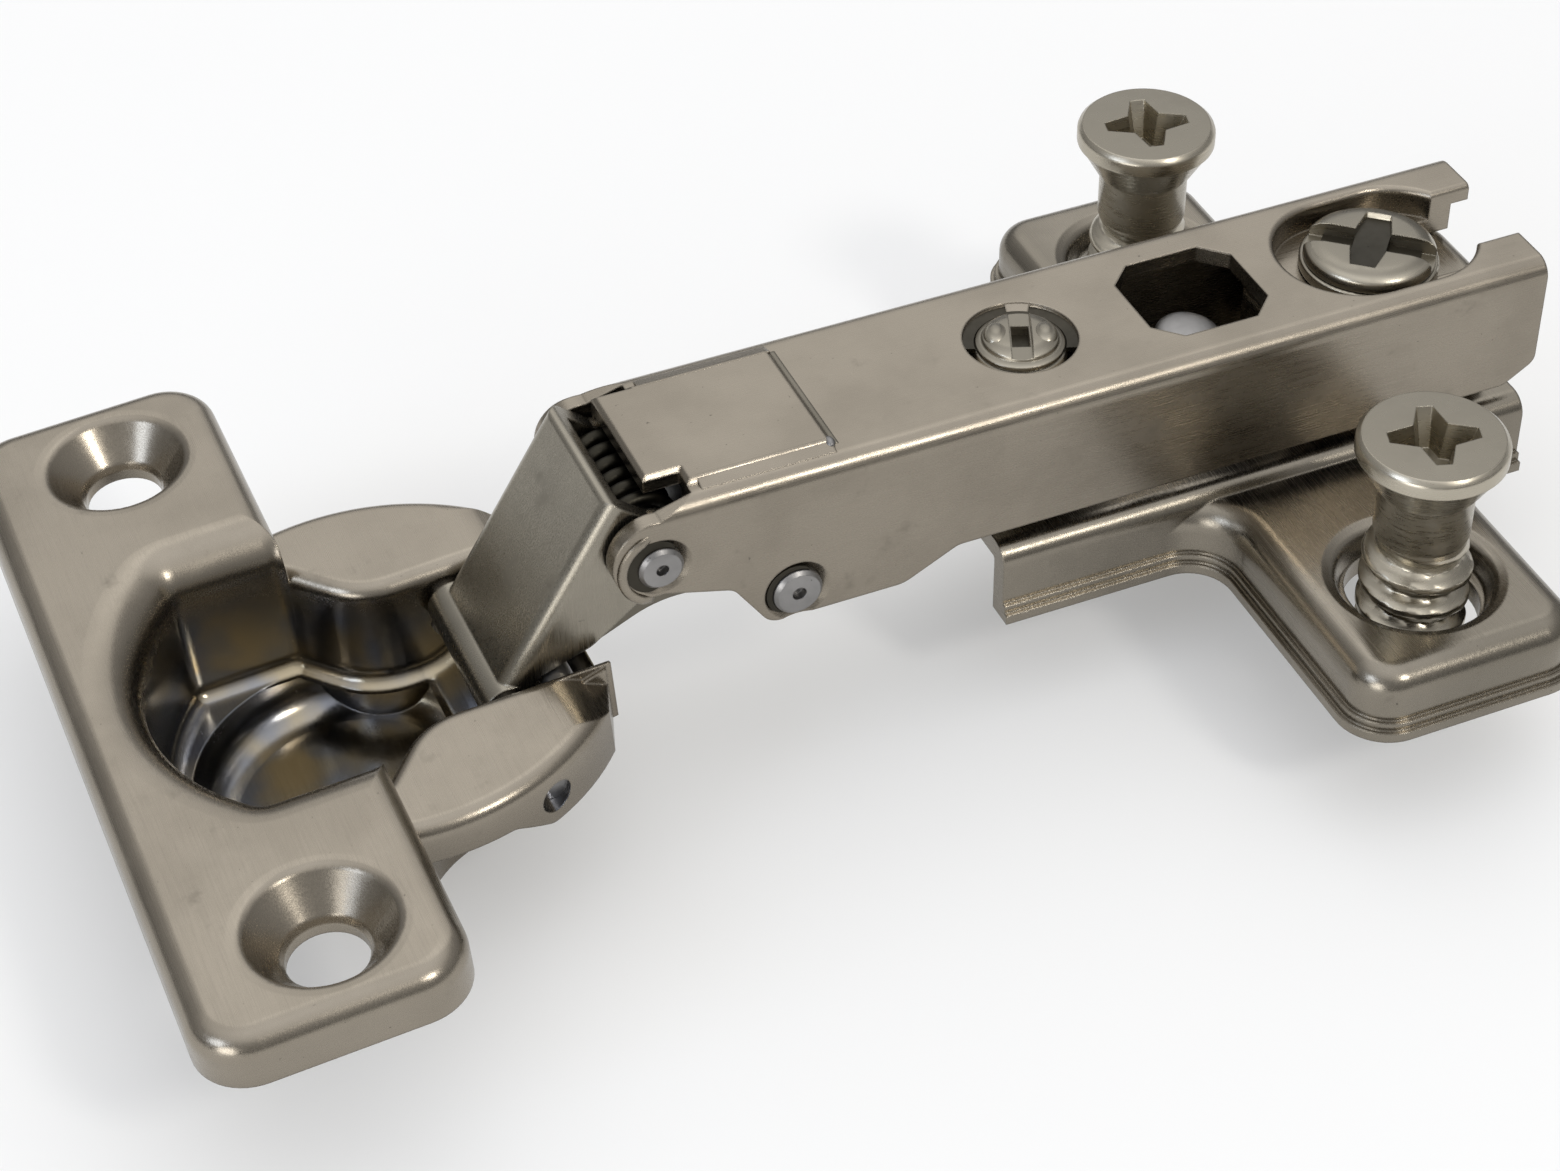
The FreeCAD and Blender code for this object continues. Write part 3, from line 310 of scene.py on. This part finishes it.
# Dark strip across the pad standing for its groove: painted shade
PAD_GROOVE_SHADE = ((-28.98, -4.3, ARM_TOP - 0.3), (-28.68, 4.3, ARM_TOP + 0.012))
PAD_CORNER = ((-29.15, -4.15, ARM_TOP + 0.12), (0.28, 0.42, 0.22))
PAD_SECTION = (
    (4.0, ARM_TOP - 0.2), (4.0, ARM_TOP + 0.305), (4.95, ARM_TOP - 0.005),
    (4.95, ARM_TOP - 0.2))
PAD_FRONT = -36.6
PAD_END = -29.05

# Rims pressed round the arm's front lobes: arc in degrees, its steps, how many fade out at
# either end, points round the rim, radius of the rim, of its round, and its lift
RIM_START = 95
RIM_ARC = 165
RIM_STEPS = 60
RIM_FADE = 8
RIM_POINTS = 12
RIM_RADIUS = 2.12
RIM_ROUND = 0.27
RIM_LIFT = (0.05, 0.15)
RIM_SUNK = 0.12

# Rings of painted shade round the arm's pins: name, node, inner and outer radius, arc in degrees
PIN_SHADE_RINGS = (
    ("front_pin_shade_ring", "front_arm_pin", 1.22, 1.92, 50, 262),
    ("rear_pin_shade_ring", "rear_arm_pin", 1.43, 1.80, 60, 235),
)
PIN_RING_STEPS = 48
PIN_RING_THINNEST = 0.15
PIN_RING_SUNK = -0.42
PIN_RING_LIFT = 0.02


def aim(azimuth, elevation):
    """Unit vector from the object towards azimuth and elevation in degrees."""
    a = math.radians(azimuth)
    e = math.radians(elevation)
    return Vector((math.sin(a) * math.cos(e), -math.cos(a) * math.cos(e), math.sin(e)))


def add_camera():
    back = aim(AZIMUTH, ELEVATION)
    right = (-back).cross(Vector((0, 0, 1))).normalized()
    up = right.cross(-back)
    roll = math.radians(ROLL)
    across = right * math.cos(roll) + up * math.sin(roll)
    upward = up * math.cos(roll) - right * math.sin(roll)
    camera = bpy.data.objects.new("camera", bpy.data.cameras.new("camera"))
    turn = Matrix((across, upward, back)).transposed().to_4x4()
    camera.matrix_world = Matrix.Translation(TARGET + back * DISTANCE) @ turn
    camera.data.sensor_width = SENSOR
    camera.data.lens = FOCAL_PIXELS / IMAGE_WIDTH * SENSOR
    camera.data.clip_start = CLIP_START
    bpy.context.scene.collection.objects.link(camera)
    bpy.context.scene.camera = camera


def add_lamp(name, azimuth, elevation, distance, size, power, colour):
    lamp = bpy.data.lights.new(name, "AREA")
    lamp.shape = "DISK"
    lamp.size = size
    lamp.energy = power
    lamp.color = colour
    lit = bpy.data.objects.new(name, lamp)
    place = TARGET + aim(azimuth, elevation) * distance
    lit.location = place
    lit.rotation_euler = (place - TARGET).to_track_quat("Z", "Y").to_euler()
    bpy.context.scene.collection.objects.link(lit)


def add_world():
    """Studio walls: brighter overhead, dimmer near the horizon."""
    world = bpy.data.worlds.new("studio")
    world.use_nodes = True
    bpy.context.scene.world = world
    nodes = world.node_tree.nodes
    links = world.node_tree.links
    place = nodes.new("ShaderNodeTexCoord")
    split = nodes.new("ShaderNodeSeparateXYZ")
    ramp = nodes.new("ShaderNodeValToRGB")
    links.new(place.outputs["Generated"], split.inputs[0])
    links.new(split.outputs["Z"], ramp.inputs["Fac"])
    stops = ramp.color_ramp.elements
    stops[0].color = WALLS_LOW
    stops[1].color = WALLS_HIGH
    for height, colour in WALLS_BETWEEN:
        stops.new(height).color = colour
    links.new(ramp.outputs["Color"], nodes["Background"].inputs["Color"])


def add_floor():
    mesh = bpy.data.meshes.new("table")
    shape = bmesh.new()
    bmesh.ops.create_grid(shape, x_segments=1, y_segments=1, size=TABLE_HALF)
    shape.to_mesh(mesh)
    shape.free()
    floor = bpy.data.objects.new("table", mesh)
    floor.location = (TARGET.x, TARGET.y, cad_bounds[0][2] - TABLE_GAP)
    bpy.context.scene.collection.objects.link(floor)
    mesh.materials.append(table_paper())


def table_paper():
    """Pale paper with a glow that the camera and reflections see and that lights nothing."""
    g = Graph("table_paper")
    rays = g.node("ShaderNodeLightPath").outputs
    seen = g.math("ADD", rays["Is Camera Ray"], rays["Is Glossy Ray"])
    seen = g.math("ADD", seen, rays["Is Transmission Ray"])
    g.link(g.math("MULTIPLY", seen, GLOW_STRENGTH), g.shader.inputs["Emission Strength"])
    g.shader.inputs["Emission Color"].default_value = GLOW_COLOUR
    g.shader.inputs["Base Color"].default_value = TABLE_COLOUR
    g.shader.inputs["Roughness"].default_value = TABLE_ROUGHNESS
    g.shader.inputs["Specular IOR Level"].default_value = TABLE_SPECULAR
    return g.material


class Graph:
    """Small helper for building a material's nodes."""

    def __init__(self, name):
        self.material = bpy.data.materials.new(name)
        self.material.use_nodes = True
        self.tree = self.material.node_tree
        self.shader = self.tree.nodes["Principled BSDF"]

    def node(self, kind, **settings):
        made = self.tree.nodes.new(kind)
        for key, value in settings.items():
            setattr(made, key, value)
        return made

    def link(self, source, target):
        self.tree.links.new(source, target)

    def place(self):
        """Point of the surface in the row frame, in metres."""
        return self.node("ShaderNodeTexCoord").outputs["Object"]

    def noise(self, cell, detail, roughness=0.55):
        """Noise whose cells measure the given lengths along X, Y and Z."""
        scale = self.node("ShaderNodeMapping")
        scale.inputs["Scale"].default_value = [1 / (length * MM) for length in cell]
        self.link(self.place(), scale.inputs["Vector"])
        noise = self.node("ShaderNodeTexNoise")
        noise.inputs["Scale"].default_value = 1.0
        noise.inputs["Detail"].default_value = detail
        noise.inputs["Roughness"].default_value = roughness
        self.link(scale.outputs["Vector"], noise.inputs["Vector"])
        return noise.outputs["Fac"]

    def upright_part(self, vector):
        split = self.node("ShaderNodeSeparateXYZ")
        self.link(vector, split.inputs[0])
        return split.outputs["Z"]

    def facing_away(self, middle):
        """Above zero where the surface looks away from a point, below where it looks to it."""
        offset = self.node("ShaderNodeVectorMath", operation="SUBTRACT")
        offset.inputs[1].default_value = [length * MM for length in middle]
        self.link(self.place(), offset.inputs[0])
        along = self.node("ShaderNodeVectorMath", operation="DOT_PRODUCT")
        self.link(offset.outputs["Vector"], along.inputs[0])
        self.link(self.node("ShaderNodeTexCoord").outputs["Normal"], along.inputs[1])
        return along.outputs["Value"]

    def remap(self, value, span, to_low, to_high):
        """Turns values between the two of span smoothly into to_low and to_high."""
        node = self.node("ShaderNodeMapRange", interpolation_type="SMOOTHSTEP")
        names = ("From Min", "From Max", "To Min", "To Max")
        for name, number in zip(names, (*span, to_low, to_high)):
            node.inputs[name].default_value = number
        self.link(value, node.inputs["Value"])
        return node.outputs["Result"]

    def blend(self, factor, first, second):
        """Mix of two colours, each a socket or an RGB triple."""
        node = self.node("ShaderNodeMix", data_type="RGBA")
        self.link(factor, node.inputs["Factor"])
        for name, colour in (("A", first), ("B", second)):
            socket = [s for s in node.inputs if s.name == name and s.type == "RGBA"][0]
            if isinstance(colour, tuple):
                socket.default_value = (*colour, 1)
            else:
                self.link(colour, socket)
        return [s for s in node.outputs if s.type == "RGBA"][0]

    def math(self, operation, first, second):
        node = self.node("ShaderNodeMath", operation=operation)
        for socket, value in zip(node.inputs, (first, second)):
            if isinstance(value, (int, float)):
                socket.default_value = value
            else:
                self.link(value, socket)
        return node.outputs[0]

    def bump(self, height, distance, strength, below):
        """Normal of a relief that lies on the normal below."""
        node = self.node("ShaderNodeBump")
        node.inputs["Distance"].default_value = distance * MM
        node.inputs["Strength"].default_value = strength
        self.link(height, node.inputs["Height"])
        self.link(below, node.inputs["Normal"])
        return node.outputs["Normal"]


def shaded(colour, share):
    return tuple(c * share for c in colour)


def plated(name, tone, dark, grain, gloss, edge=0.18, streak=0.5, pitted=0.75,
           low=None, top=None):
    """Satin nickel: cloudy tone, brushed streaks along grain, fine pits and softened edges.

    low describes the smoother finish deep in the cup, with its painted gold and blue
    reflections and the painted shade of the cup's lower walls; top is the painted shade of
    faces that look straight up.
    """
    g = Graph(name)
    cloud = g.noise(**CLOUDS)
    streaks = g.noise(grain, **STREAKS)
    pits = g.noise(**PITS)
    dull = g.noise(**DULL_SPOTS)
    colour = g.blend(g.remap(cloud, CLOUD_SPAN, 0, 1), tone, dark)
    rough = streaked(g, streaks, gloss, STREAK_ROUGHNESS)
    # Cup: painted shade low on its walls, painted reflections and a smoother gloss deep inside
    if low:
        colour, rough = with_low_gloss_and_painted_light(g, colour, rough, streaks, shaded(tone, WALL_PAINTED_SHADE), low)
    # Faces that look up take a darker share of the tone: painted shade
    if top:
        normal = g.node("ShaderNodeNewGeometry").outputs["Normal"]
        upward = g.remap(g.upright_part(normal), PAINTED_TOP_SHADE_SPAN, 0, 1)
        colour = g.blend(upward, colour, shaded(tone, top))
    stain = g.remap(dull, STAIN_SPAN, 0, STAIN_MOST)
    colour = g.blend(stain, colour, shaded(dark, STAIN_SHADE))
    colour = g.blend(g.remap(pits, PIT_SPAN, 0, pitted), colour, shaded(dark, PIT_SHADE))
    g.link(colour, g.shader.inputs["Base Color"])
    rough = g.math("ADD", rough, g.remap(dull, DULL_SPAN, 0, DULL_ROUGHNESS))
    g.link(rough, g.shader.inputs["Roughness"])
    g.shader.inputs["Metallic"].default_value = 1.0
    soft = g.node("ShaderNodeBevel", samples=EDGE_SAMPLES)
    soft.inputs["Radius"].default_value = edge * MM
    normal = g.bump(streaks, STREAK_HEIGHT, streak, soft.outputs["Normal"])
    normal = g.bump(pits, PIT_HEIGHT, PIT_STRENGTH, normal)
    g.link(normal, g.shader.inputs["Normal"])
    return g.material


def streaked(g, streaks, gloss, spread):
    """Roughness near gloss that follows the streaks, within spread below and above it."""
    return g.remap(streaks, STREAK_SPAN, gloss + spread[0], gloss + spread[1])


def with_low_gloss_and_painted_light(g, colour, rough, streaks, wall, low):
    """Colour and roughness that turn into those of the cup's inside towards its bottom: painted
    shade on all walls below the upper level, painted gold and blue reflections and a smoother
    gloss deep inside.
    """
    levels = (low["lower"] * MM, low["upper"] * MM)
    below = g.remap(g.upright_part(g.place()), levels, 1, 0)
    band = (-INSIDE_BAND * MM, INSIDE_BAND * MM)
    inside = g.remap(g.facing_away(CUP_MIDDLE), band, 1, 0)
    depth = g.math("MULTIPLY", below, inside)
    reflection_tint = g.remap(g.noise(**REFLECTION_TINTS), REFLECTION_TINT_SPAN, 0, 1)
    # Painted shade below the upper level, then painted gold and blue reflections deep inside
    colour = g.blend(below, colour, wall)
    colour = g.blend(depth, colour, g.blend(reflection_tint, low["tone"], low["dark"]))
    smooth = streaked(g, streaks, low["gloss"], LOW_STREAK_ROUGHNESS)
    rough = g.math("ADD", g.math("MULTIPLY", rough, g.math("SUBTRACT", 1, depth)),
                   g.math("MULTIPLY", smooth, depth))
    return colour, rough


def finished(name, shape, node_slot, body):
    """Turns a bmesh in millimetres into a piece that rides on a body."""
    sharp = math.radians(SHARP)
    bmesh.ops.recalc_face_normals(shape, faces=shape.faces)
    for edge in shape.edges:
        edge.smooth = not (len(edge.link_faces) == 2 and edge.calc_face_angle(0) > sharp)
    for face in shape.faces:
        face.smooth = True
    mesh = bpy.data.meshes.new(name)
    shape.to_mesh(mesh)
    shape.free()
    mesh.transform(Matrix.Scale(MM, 4))
    piece = bpy.data.objects.new(name, mesh)
    bpy.context.scene.collection.objects.link(piece)
    mesh.materials.append(MATERIALS[node_slot])
    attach(piece, body)
    return piece


def height_along(outline, z):
    """Radius of an outline, listed from the top down, at a height."""
    for (r0, z0), (r1, z1) in zip(outline, outline[1:]):
        if z0 >= z >= z1:
            share = 0 if z0 == z1 else (z0 - z) / (z0 - z1)
            return r0 + (r1 - r0) * share
    return outline[-1][0]


def lathe(outline, x, y, start, end, depth, pitch):
    """Turned body as a bmesh, with a thread wound round its outline from start down to end."""
    steps = int((start - end) / pitch * LEVELS_PER_TURN)
    fine = [start + (end - start) * k / steps for k in range(steps + 1)]
    plain = [z for r, z in outline if not end < z < start]
    shape = bmesh.new()
    rings = []
    for z in sorted({*plain, *fine}, reverse=True):
        for radius in [r for r, level in outline if level == z] or [height_along(outline, z)]:
            ring = []
            for k in range(SEGMENTS):
                a = 2 * math.pi * k / SEGMENTS
                reach = max(radius, AXIS_RADIUS) + ridge(z, a, start, end, depth, pitch)
                ring.append(shape.verts.new(
                    (x + reach * math.cos(a), y + reach * math.sin(a), z)))
            rings.append(ring)
    join_rings(shape, rings)
    return shape


def ridge(z, angle, start, end, depth, pitch):
    """Height of a thread's rounded crest above its root."""
    if not end < z < start:
        return 0
    phase = ((start - z) / pitch - angle / (2 * math.pi)) % 1.0
    crest = max(0.0, 1 - abs(phase - 0.5) / HALF_CREST)
    fade = min(1.0, (start - z) / pitch, (z - end) / pitch)
    return depth * fade * min(1.0, CREST_GAIN * crest)


def join_rings(shape, rings):
    """Skins closed rings listed from the top down and caps both ends."""
    count = len(rings[0])
    for upper, lower in zip(rings, rings[1:]):
        for k in range(count):
            n = (k + 1) % count
            shape.faces.new((upper[k], lower[k], lower[n], upper[n]))
    shape.faces.new(rings[0])
    shape.faces.new(list(reversed(rings[-1])))


def join_rows(shape, rows):
    """Skins closed loops listed along a sweep and caps both ends."""
    count = len(rows[0])
    for a, b in zip(rows, rows[1:]):
        for k in range(count):
            n = (k + 1) % count
            shape.faces.new((a[k], a[n], b[n], b[k]))
    shape.faces.new(rows[0])
    shape.faces.new(list(reversed(rows[-1])))


def prism(plan, bottom_plan, x, y, top, bottom, turn):
    """Straight-sided plug between two outlines, turned about the upright through x and y."""
    a = math.radians(turn)
    shape = bmesh.new()
    rings = []
    for outline, z in ((plan, top), (bottom_plan, bottom)):
        rings.append([shape.verts.new((
            x + u * math.cos(a) - v * math.sin(a),
            y + u * math.sin(a) + v * math.cos(a), z)) for u, v in outline])
    join_rings(shape, rings)
    bmesh.ops.recalc_face_normals(shape, faces=shape.faces)
    return shape


def bar(half, narrow):
    """Outline of a straight bar."""
    return [(-half, -narrow), (half, -narrow), (half, narrow), (-half, narrow)]


def boat(half, tip, waist):
    """Outline of one bar of a cross recess: narrow ends, wide waist."""
    return [(-half, -tip), (-waist, -waist), (waist, -waist), (half, -tip),
            (half, tip), (waist, waist), (-waist, waist), (-half, tip)]


def loose_object(name, shape):
    mesh = bpy.data.meshes.new(name)
    shape.to_mesh(mesh)
    shape.free()
    thing = bpy.data.objects.new(name, mesh)
    bpy.context.scene.collection.objects.link(thing)
    return thing


def carved(body, plugs):
    """The body less the plugs, as one bmesh."""
    blank = loose_object("blank", body)
    tools = [loose_object("plug", plug) for plug in plugs]
    for tool in tools:
        cut = blank.modifiers.new("cut", "BOOLEAN")
        cut.operation = "DIFFERENCE"
        cut.solver = "EXACT"
        cut.object = tool
    bpy.context.view_layer.update()
    result = bmesh.new()
    result.from_object(blank, bpy.context.evaluated_depsgraph_get())
    for thing in [blank] + tools:
        bpy.data.objects.remove(thing)
    return result


def frame_middle(node):
    """Middle and both corners of a solid's box."""
    low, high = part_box(node)
    return (low + high) / 2 / MM, low / MM, high / MM


def add_threaded(node, shape):
    """Puts a refined screw in the place of its plain solid."""
    piece = finished(node + "_threaded", shape, "screw_steel", BODY_OF_NODE[node])
    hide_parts(node)


def add_euro_screw(node, turn):
    """Coarse-threaded plate screw with a cross recess."""
    middle, low, high = frame_middle(node)
    top = high.z
    head = (high.x - low.x) / 2
    face = head - EURO_FACE_BORDER
    shoulder = top - EURO_RIM_DROP
    under = top - EURO_CONE_DROP
    thread_start = top - EURO_THREAD_DROP
    outline = [
        (0, top), (face * 0.6, top), (face, top - 0.06),        # face
        (head - 0.06, top - 0.28), (head, top - 0.45),          # rounded edge
        (head, shoulder), (head - 0.25, shoulder - 0.3),        # rim
        (EURO_NECK + 0.35, under), (EURO_NECK, under - 0.5),    # cone
        (EURO_NECK, thread_start + 0.3),                        # neck
        (EURO_ROOT, thread_start - 0.3), (EURO_ROOT, low.z + 2.2),
        (0.5, low.z)]                                           # point
    shape = lathe(outline, middle.x, middle.y, thread_start + EURO_THREAD_RISE,
                  low.z + EURO_THREAD_END, **EURO_THREAD)
    cross = [prism(boat(*CROSS_TOP), boat(*CROSS_FLOOR), middle.x, middle.y,
                   top + OPEN_CROSS, top - CROSS_DEPTH, turn + quarter) for quarter in (0, 90)]
    add_threaded(node, carved(shape, cross))


def add_fixing_screw():
    """Flat-headed screw with a full slot crossed by a shorter recess, both with a dark floor of
    painted shade.
    """
    node = "fixing_screw"
    middle, low, high = frame_middle(node)
    x, y, top = middle.x, middle.y, high.z
    head = (high.x - low.x) / 2
    shank = FIXING_SHANK
    waist = shank - FIXING_WAIST
    thread_start = top - FIXING_THREAD_DROP
    outline = [
        (0, top), (head * 0.7, top), (head - 0.5, top - 0.1),   # face
        (head - 0.12, top - 0.36), (head, top - 0.55),          # rounded edge
        (head, top - 1.05), (shank, top - 1.1),                 # rim
        (waist, thread_start), (waist, low.z + 0.6), (0.4, low.z)]
    shape = lathe(outline, x, y, thread_start, low.z + FIXING_THREAD_END, **FIXING_THREAD)
    wide, narrow = FIXING_SLOT
    half = head + FIXING_SLOT_OVERRUN
    slot = prism(bar(half, wide), bar(half, narrow), x, y,
                 top + OPEN_SLOT, top - FIXING_SLOT_DEPTH, FIXING_TURN)
    upper, lower = FIXING_CROSS
    across = prism(boat(*upper), boat(*lower), x, y,
                   top + OPEN_CROSS, top - FIXING_CROSS_DEPTH, FIXING_TURN + 90)
    add_threaded(node, carved(shape, [slot, across]))
    # Dark plugs in the cross and the slot: painted shade
    upper, lower = FIXING_CROSS_SHADE
    first, last = FIXING_CROSS_SHADE_DROPS
    fill = prism(boat(*upper), boat(*lower), x, y, top - first, top - last, FIXING_TURN + 90)
    finished(node + "_painted_shade", fill, "spring_steel", BODY_OF_NODE[node])
    wide, narrow = FIXING_SLOT_SHADE
    first, last = FIXING_SLOT_SHADE_DROPS
    half = head - FIXING_SLOT_SHADE_BORDER
    strip = prism(bar(half, wide), bar(half, narrow), x, y,
                  top - first, top - last, FIXING_TURN)
    finished(node + "_slot_painted_shade", strip, "spring_steel", BODY_OF_NODE[node])


def add_adjusting_screw():
    """Low-domed screw split by a wide slot, with ribs round its crown, a fine thread below and
    painted shade in its hub.
    """
    node = "adjusting_screw"
    middle, low, high = frame_middle(node)
    x = ADJUST_X
    top = high.z + ADJUST_RISE
    first, last = ADJUST_THREAD_DROPS
    rim, upper_side = ADJUST_FOOT_RISE
    outline = [(r, top - drop) for r, drop in ADJUST_CROWN] + [
        (ADJUST_SHANK, top - last), (ADJUST_WAIST, top - last - ADJUST_TAPER),
        (ADJUST_WAIST, low.z + upper_side), (ADJUST_FOOT, low.z + rim), (ADJUST_FOOT, low.z)]
    shape = lathe(outline, x, 0, top - first, top - last, **ADJUST_THREAD)
    upper, lower = ADJUST_SLOT
    slot = prism(bar(*upper), bar(*lower), x, 0,
                 top + OPEN_SLOT, top - ADJUST_SLOT_DEPTH, ADJUST_TURN)
    upper, lower = ADJUST_HUB
    hub = prism(bar(*upper), bar(*lower), x, 0,
                top + OPEN_SLOT, top - ADJUST_HUB_DEPTH, ADJUST_TURN)
    add_threaded(node, carved(shape, [slot, hub]))
    a = math.radians(ADJUST_TURN + 90)
    for side in (-1, 1):
        offset = side * BULGE_OFFSET
        spot = (x + offset * math.cos(a), offset * math.sin(a), top - ADJUST_SLOT_DEPTH)
        bulge = egg((0, 0, 0), BULGE_RADII)
        bulge.transform(Matrix.Translation(spot) @ Matrix.Rotation(a, 4, "Z"))
        finished(node + "_bulge", bulge, "screw_steel", BODY_OF_NODE[node])
    # Dark plug in the hub: painted shade
    upper, lower = ADJUST_HUB_SHADE
    first, last = ADJUST_HUB_SHADE_DROPS
    fill = prism(bar(*upper), bar(*lower), x, 0, top - first, top - last, ADJUST_TURN)
    finished(node + "_painted_shade", fill, "spring_steel", BODY_OF_NODE[node])


def ring_sector(x, section, first, last, steps):
    """Part of a ring about the upright through x on the arm's middle, with a given section."""
    shape = bmesh.new()
    rows = []
    for k in range(steps + 1):
        a = math.radians(first + (last - first) * k / steps)
        rows.append([shape.verts.new((x + r * math.cos(a), r * math.sin(a), z))
                     for r, z in section])
    join_rows(shape, rows)
    return shape


def block(low, high):
    """Box between two corners."""
    shape = bmesh.new()
    bmesh.ops.create_cube(shape, size=1)
    for vert in shape.verts:
        vert.co = Vector([a + (b - a) * (c + 0.5) for a, b, c in zip(low, high, vert.co)])
    return shape


def egg(middle, radii):
    """Ellipsoid."""
    shape = bmesh.new()
    bmesh.ops.create_uvsphere(shape, u_segments=EGG_SEGMENTS, v_segments=EGG_RINGS, radius=1)
    for vert in shape.verts:
        vert.co = Vector([m + r * c for m, r, c in zip(middle, radii, vert.co)])
    return shape


def add_arm_details():
    """Painted shade in the screw hole's gap and a bridge in it, tongue in the window, edges of
    the pad with painted shade in its groove, and a dark block for the spring's end and painted
    shade.
    """
    for name, shape, node_slot in (
            ("screw_hole_gap_shade", ring_sector(ADJUST_X, GAP_SHADE_SECTION, *GAP_SHADE_ARC), "spring_steel"),
            ("screw_hole_bridge", ring_sector(ADJUST_X, BRIDGE_SECTION, *BRIDGE_ARC),
             "arm_steel"),
            ("window_tongue", egg(*TONGUE), "pin_steel"),
            ("spring_end_and_shade_block", block(*SPRING_END_AND_SHADE_BLOCK), "spring_steel"),
            ("pad_groove_shade", block(*PAD_GROOVE_SHADE), "lever_steel"),
            ("pad_corner", egg(*PAD_CORNER), "pin_steel"),
            ("pad_slope", pad_slope(-1), "arm_steel"),
            ("pad_slope", pad_slope(1), "arm_steel")):
        finished(name, shape, node_slot, "arm")


def pad_slope(side):
    """Sloping edge along the raised pad, on the near side (-1) or the far one (1)."""
    shape = bmesh.new()
    join_rows(shape, [[shape.verts.new((x, side * y, z)) for y, z in PAD_SECTION]
                      for x in (PAD_FRONT, PAD_END)])
    return shape


def arm_sides():
    """Name, outward direction along Y and level of the arm's two side faces."""
    low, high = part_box("hinge_arm")
    return (("near", -1, low.y / MM), ("far", 1, high.y / MM))


def add_lobe_rims():
    """Rounded rim pressed round the arm's front lobes."""
    middle = frame_middle("front_arm_pin")[0]
    for side, outward, face in arm_sides():
        shape = bmesh.new()
        rows = []
        for k in range(RIM_STEPS + 1):
            a = math.radians(RIM_START + RIM_ARC * k / RIM_STEPS)
            fade = min(1, k / RIM_FADE, (RIM_STEPS - k) / RIM_FADE)
            row = []
            for j in range(RIM_POINTS):
                b = 2 * math.pi * j / RIM_POINTS
                r = RIM_RADIUS + RIM_ROUND * math.cos(b)
                lift = RIM_LIFT[0] + RIM_LIFT[1] * math.sin(b)
                lift = lift * fade - RIM_SUNK * (1 - fade)
                row.append(shape.verts.new((
                    middle.x + r * math.cos(a), face + outward * lift,
                    middle.z + r * math.sin(a))))
            rows.append(row)
        join_rows(shape, rows)
        finished("lobe_rim_" + side, shape, "arm_steel", "arm")


def add_shadow_rings():
    """Painted shade: dark rings in the pressed cones round the arm's pins."""
    for name, node, inner, outer, first, last in PIN_SHADE_RINGS:
        middle = frame_middle(node)[0]
        for side, outward, face in arm_sides():
            shape = bmesh.new()
            rows = []
            for k in range(PIN_RING_STEPS + 1):
                a = math.radians(first + (last - first) * k / PIN_RING_STEPS)
                thin = math.sin(math.pi * k / PIN_RING_STEPS) ** 0.5
                far_edge = inner + (outer - inner) * max(thin, PIN_RING_THINNEST)
                rows.append([shape.verts.new((
                    middle.x + r * math.cos(a), face + outward * lift,
                    middle.z + r * math.sin(a)))
                    for r, lift in ((inner, PIN_RING_SUNK), (inner, PIN_RING_LIFT),
                                    (far_edge, PIN_RING_LIFT), (far_edge, PIN_RING_SUNK))])
            join_rows(shape, rows)
            finished(name + "_" + side, shape, "spring_steel", "arm")


def dress_solids():
    """Gives every solid of the frame the plating of its record slot."""
    slots = {part["node"]: part["material_slot"] for part in frame["record"]["subparts"]}
    for name, piece in frame["nodes"].items():
        piece.data.materials.clear()
        piece.data.materials.append(MATERIALS[slots[name]])


MATERIALS = {node_slot: plated(**finish) for node_slot, finish in FINISHES.items()}
BODY_OF_NODE = {node: body for body, empty in frame["bodies"].items()
                for node, piece in frame["nodes"].items() if piece.parent == empty}
dress_solids()
for screw, cross_turn in EURO_TURNS.items():
    add_euro_screw(screw, cross_turn)
add_fixing_screw()
add_adjusting_screw()
add_shadow_rings()
add_lobe_rims()
add_arm_details()
add_floor()
add_world()
for lamp_row in LAMPS:
    add_lamp(*lamp_row)
add_camera()
bpy.context.scene.view_settings.view_transform = "Standard"
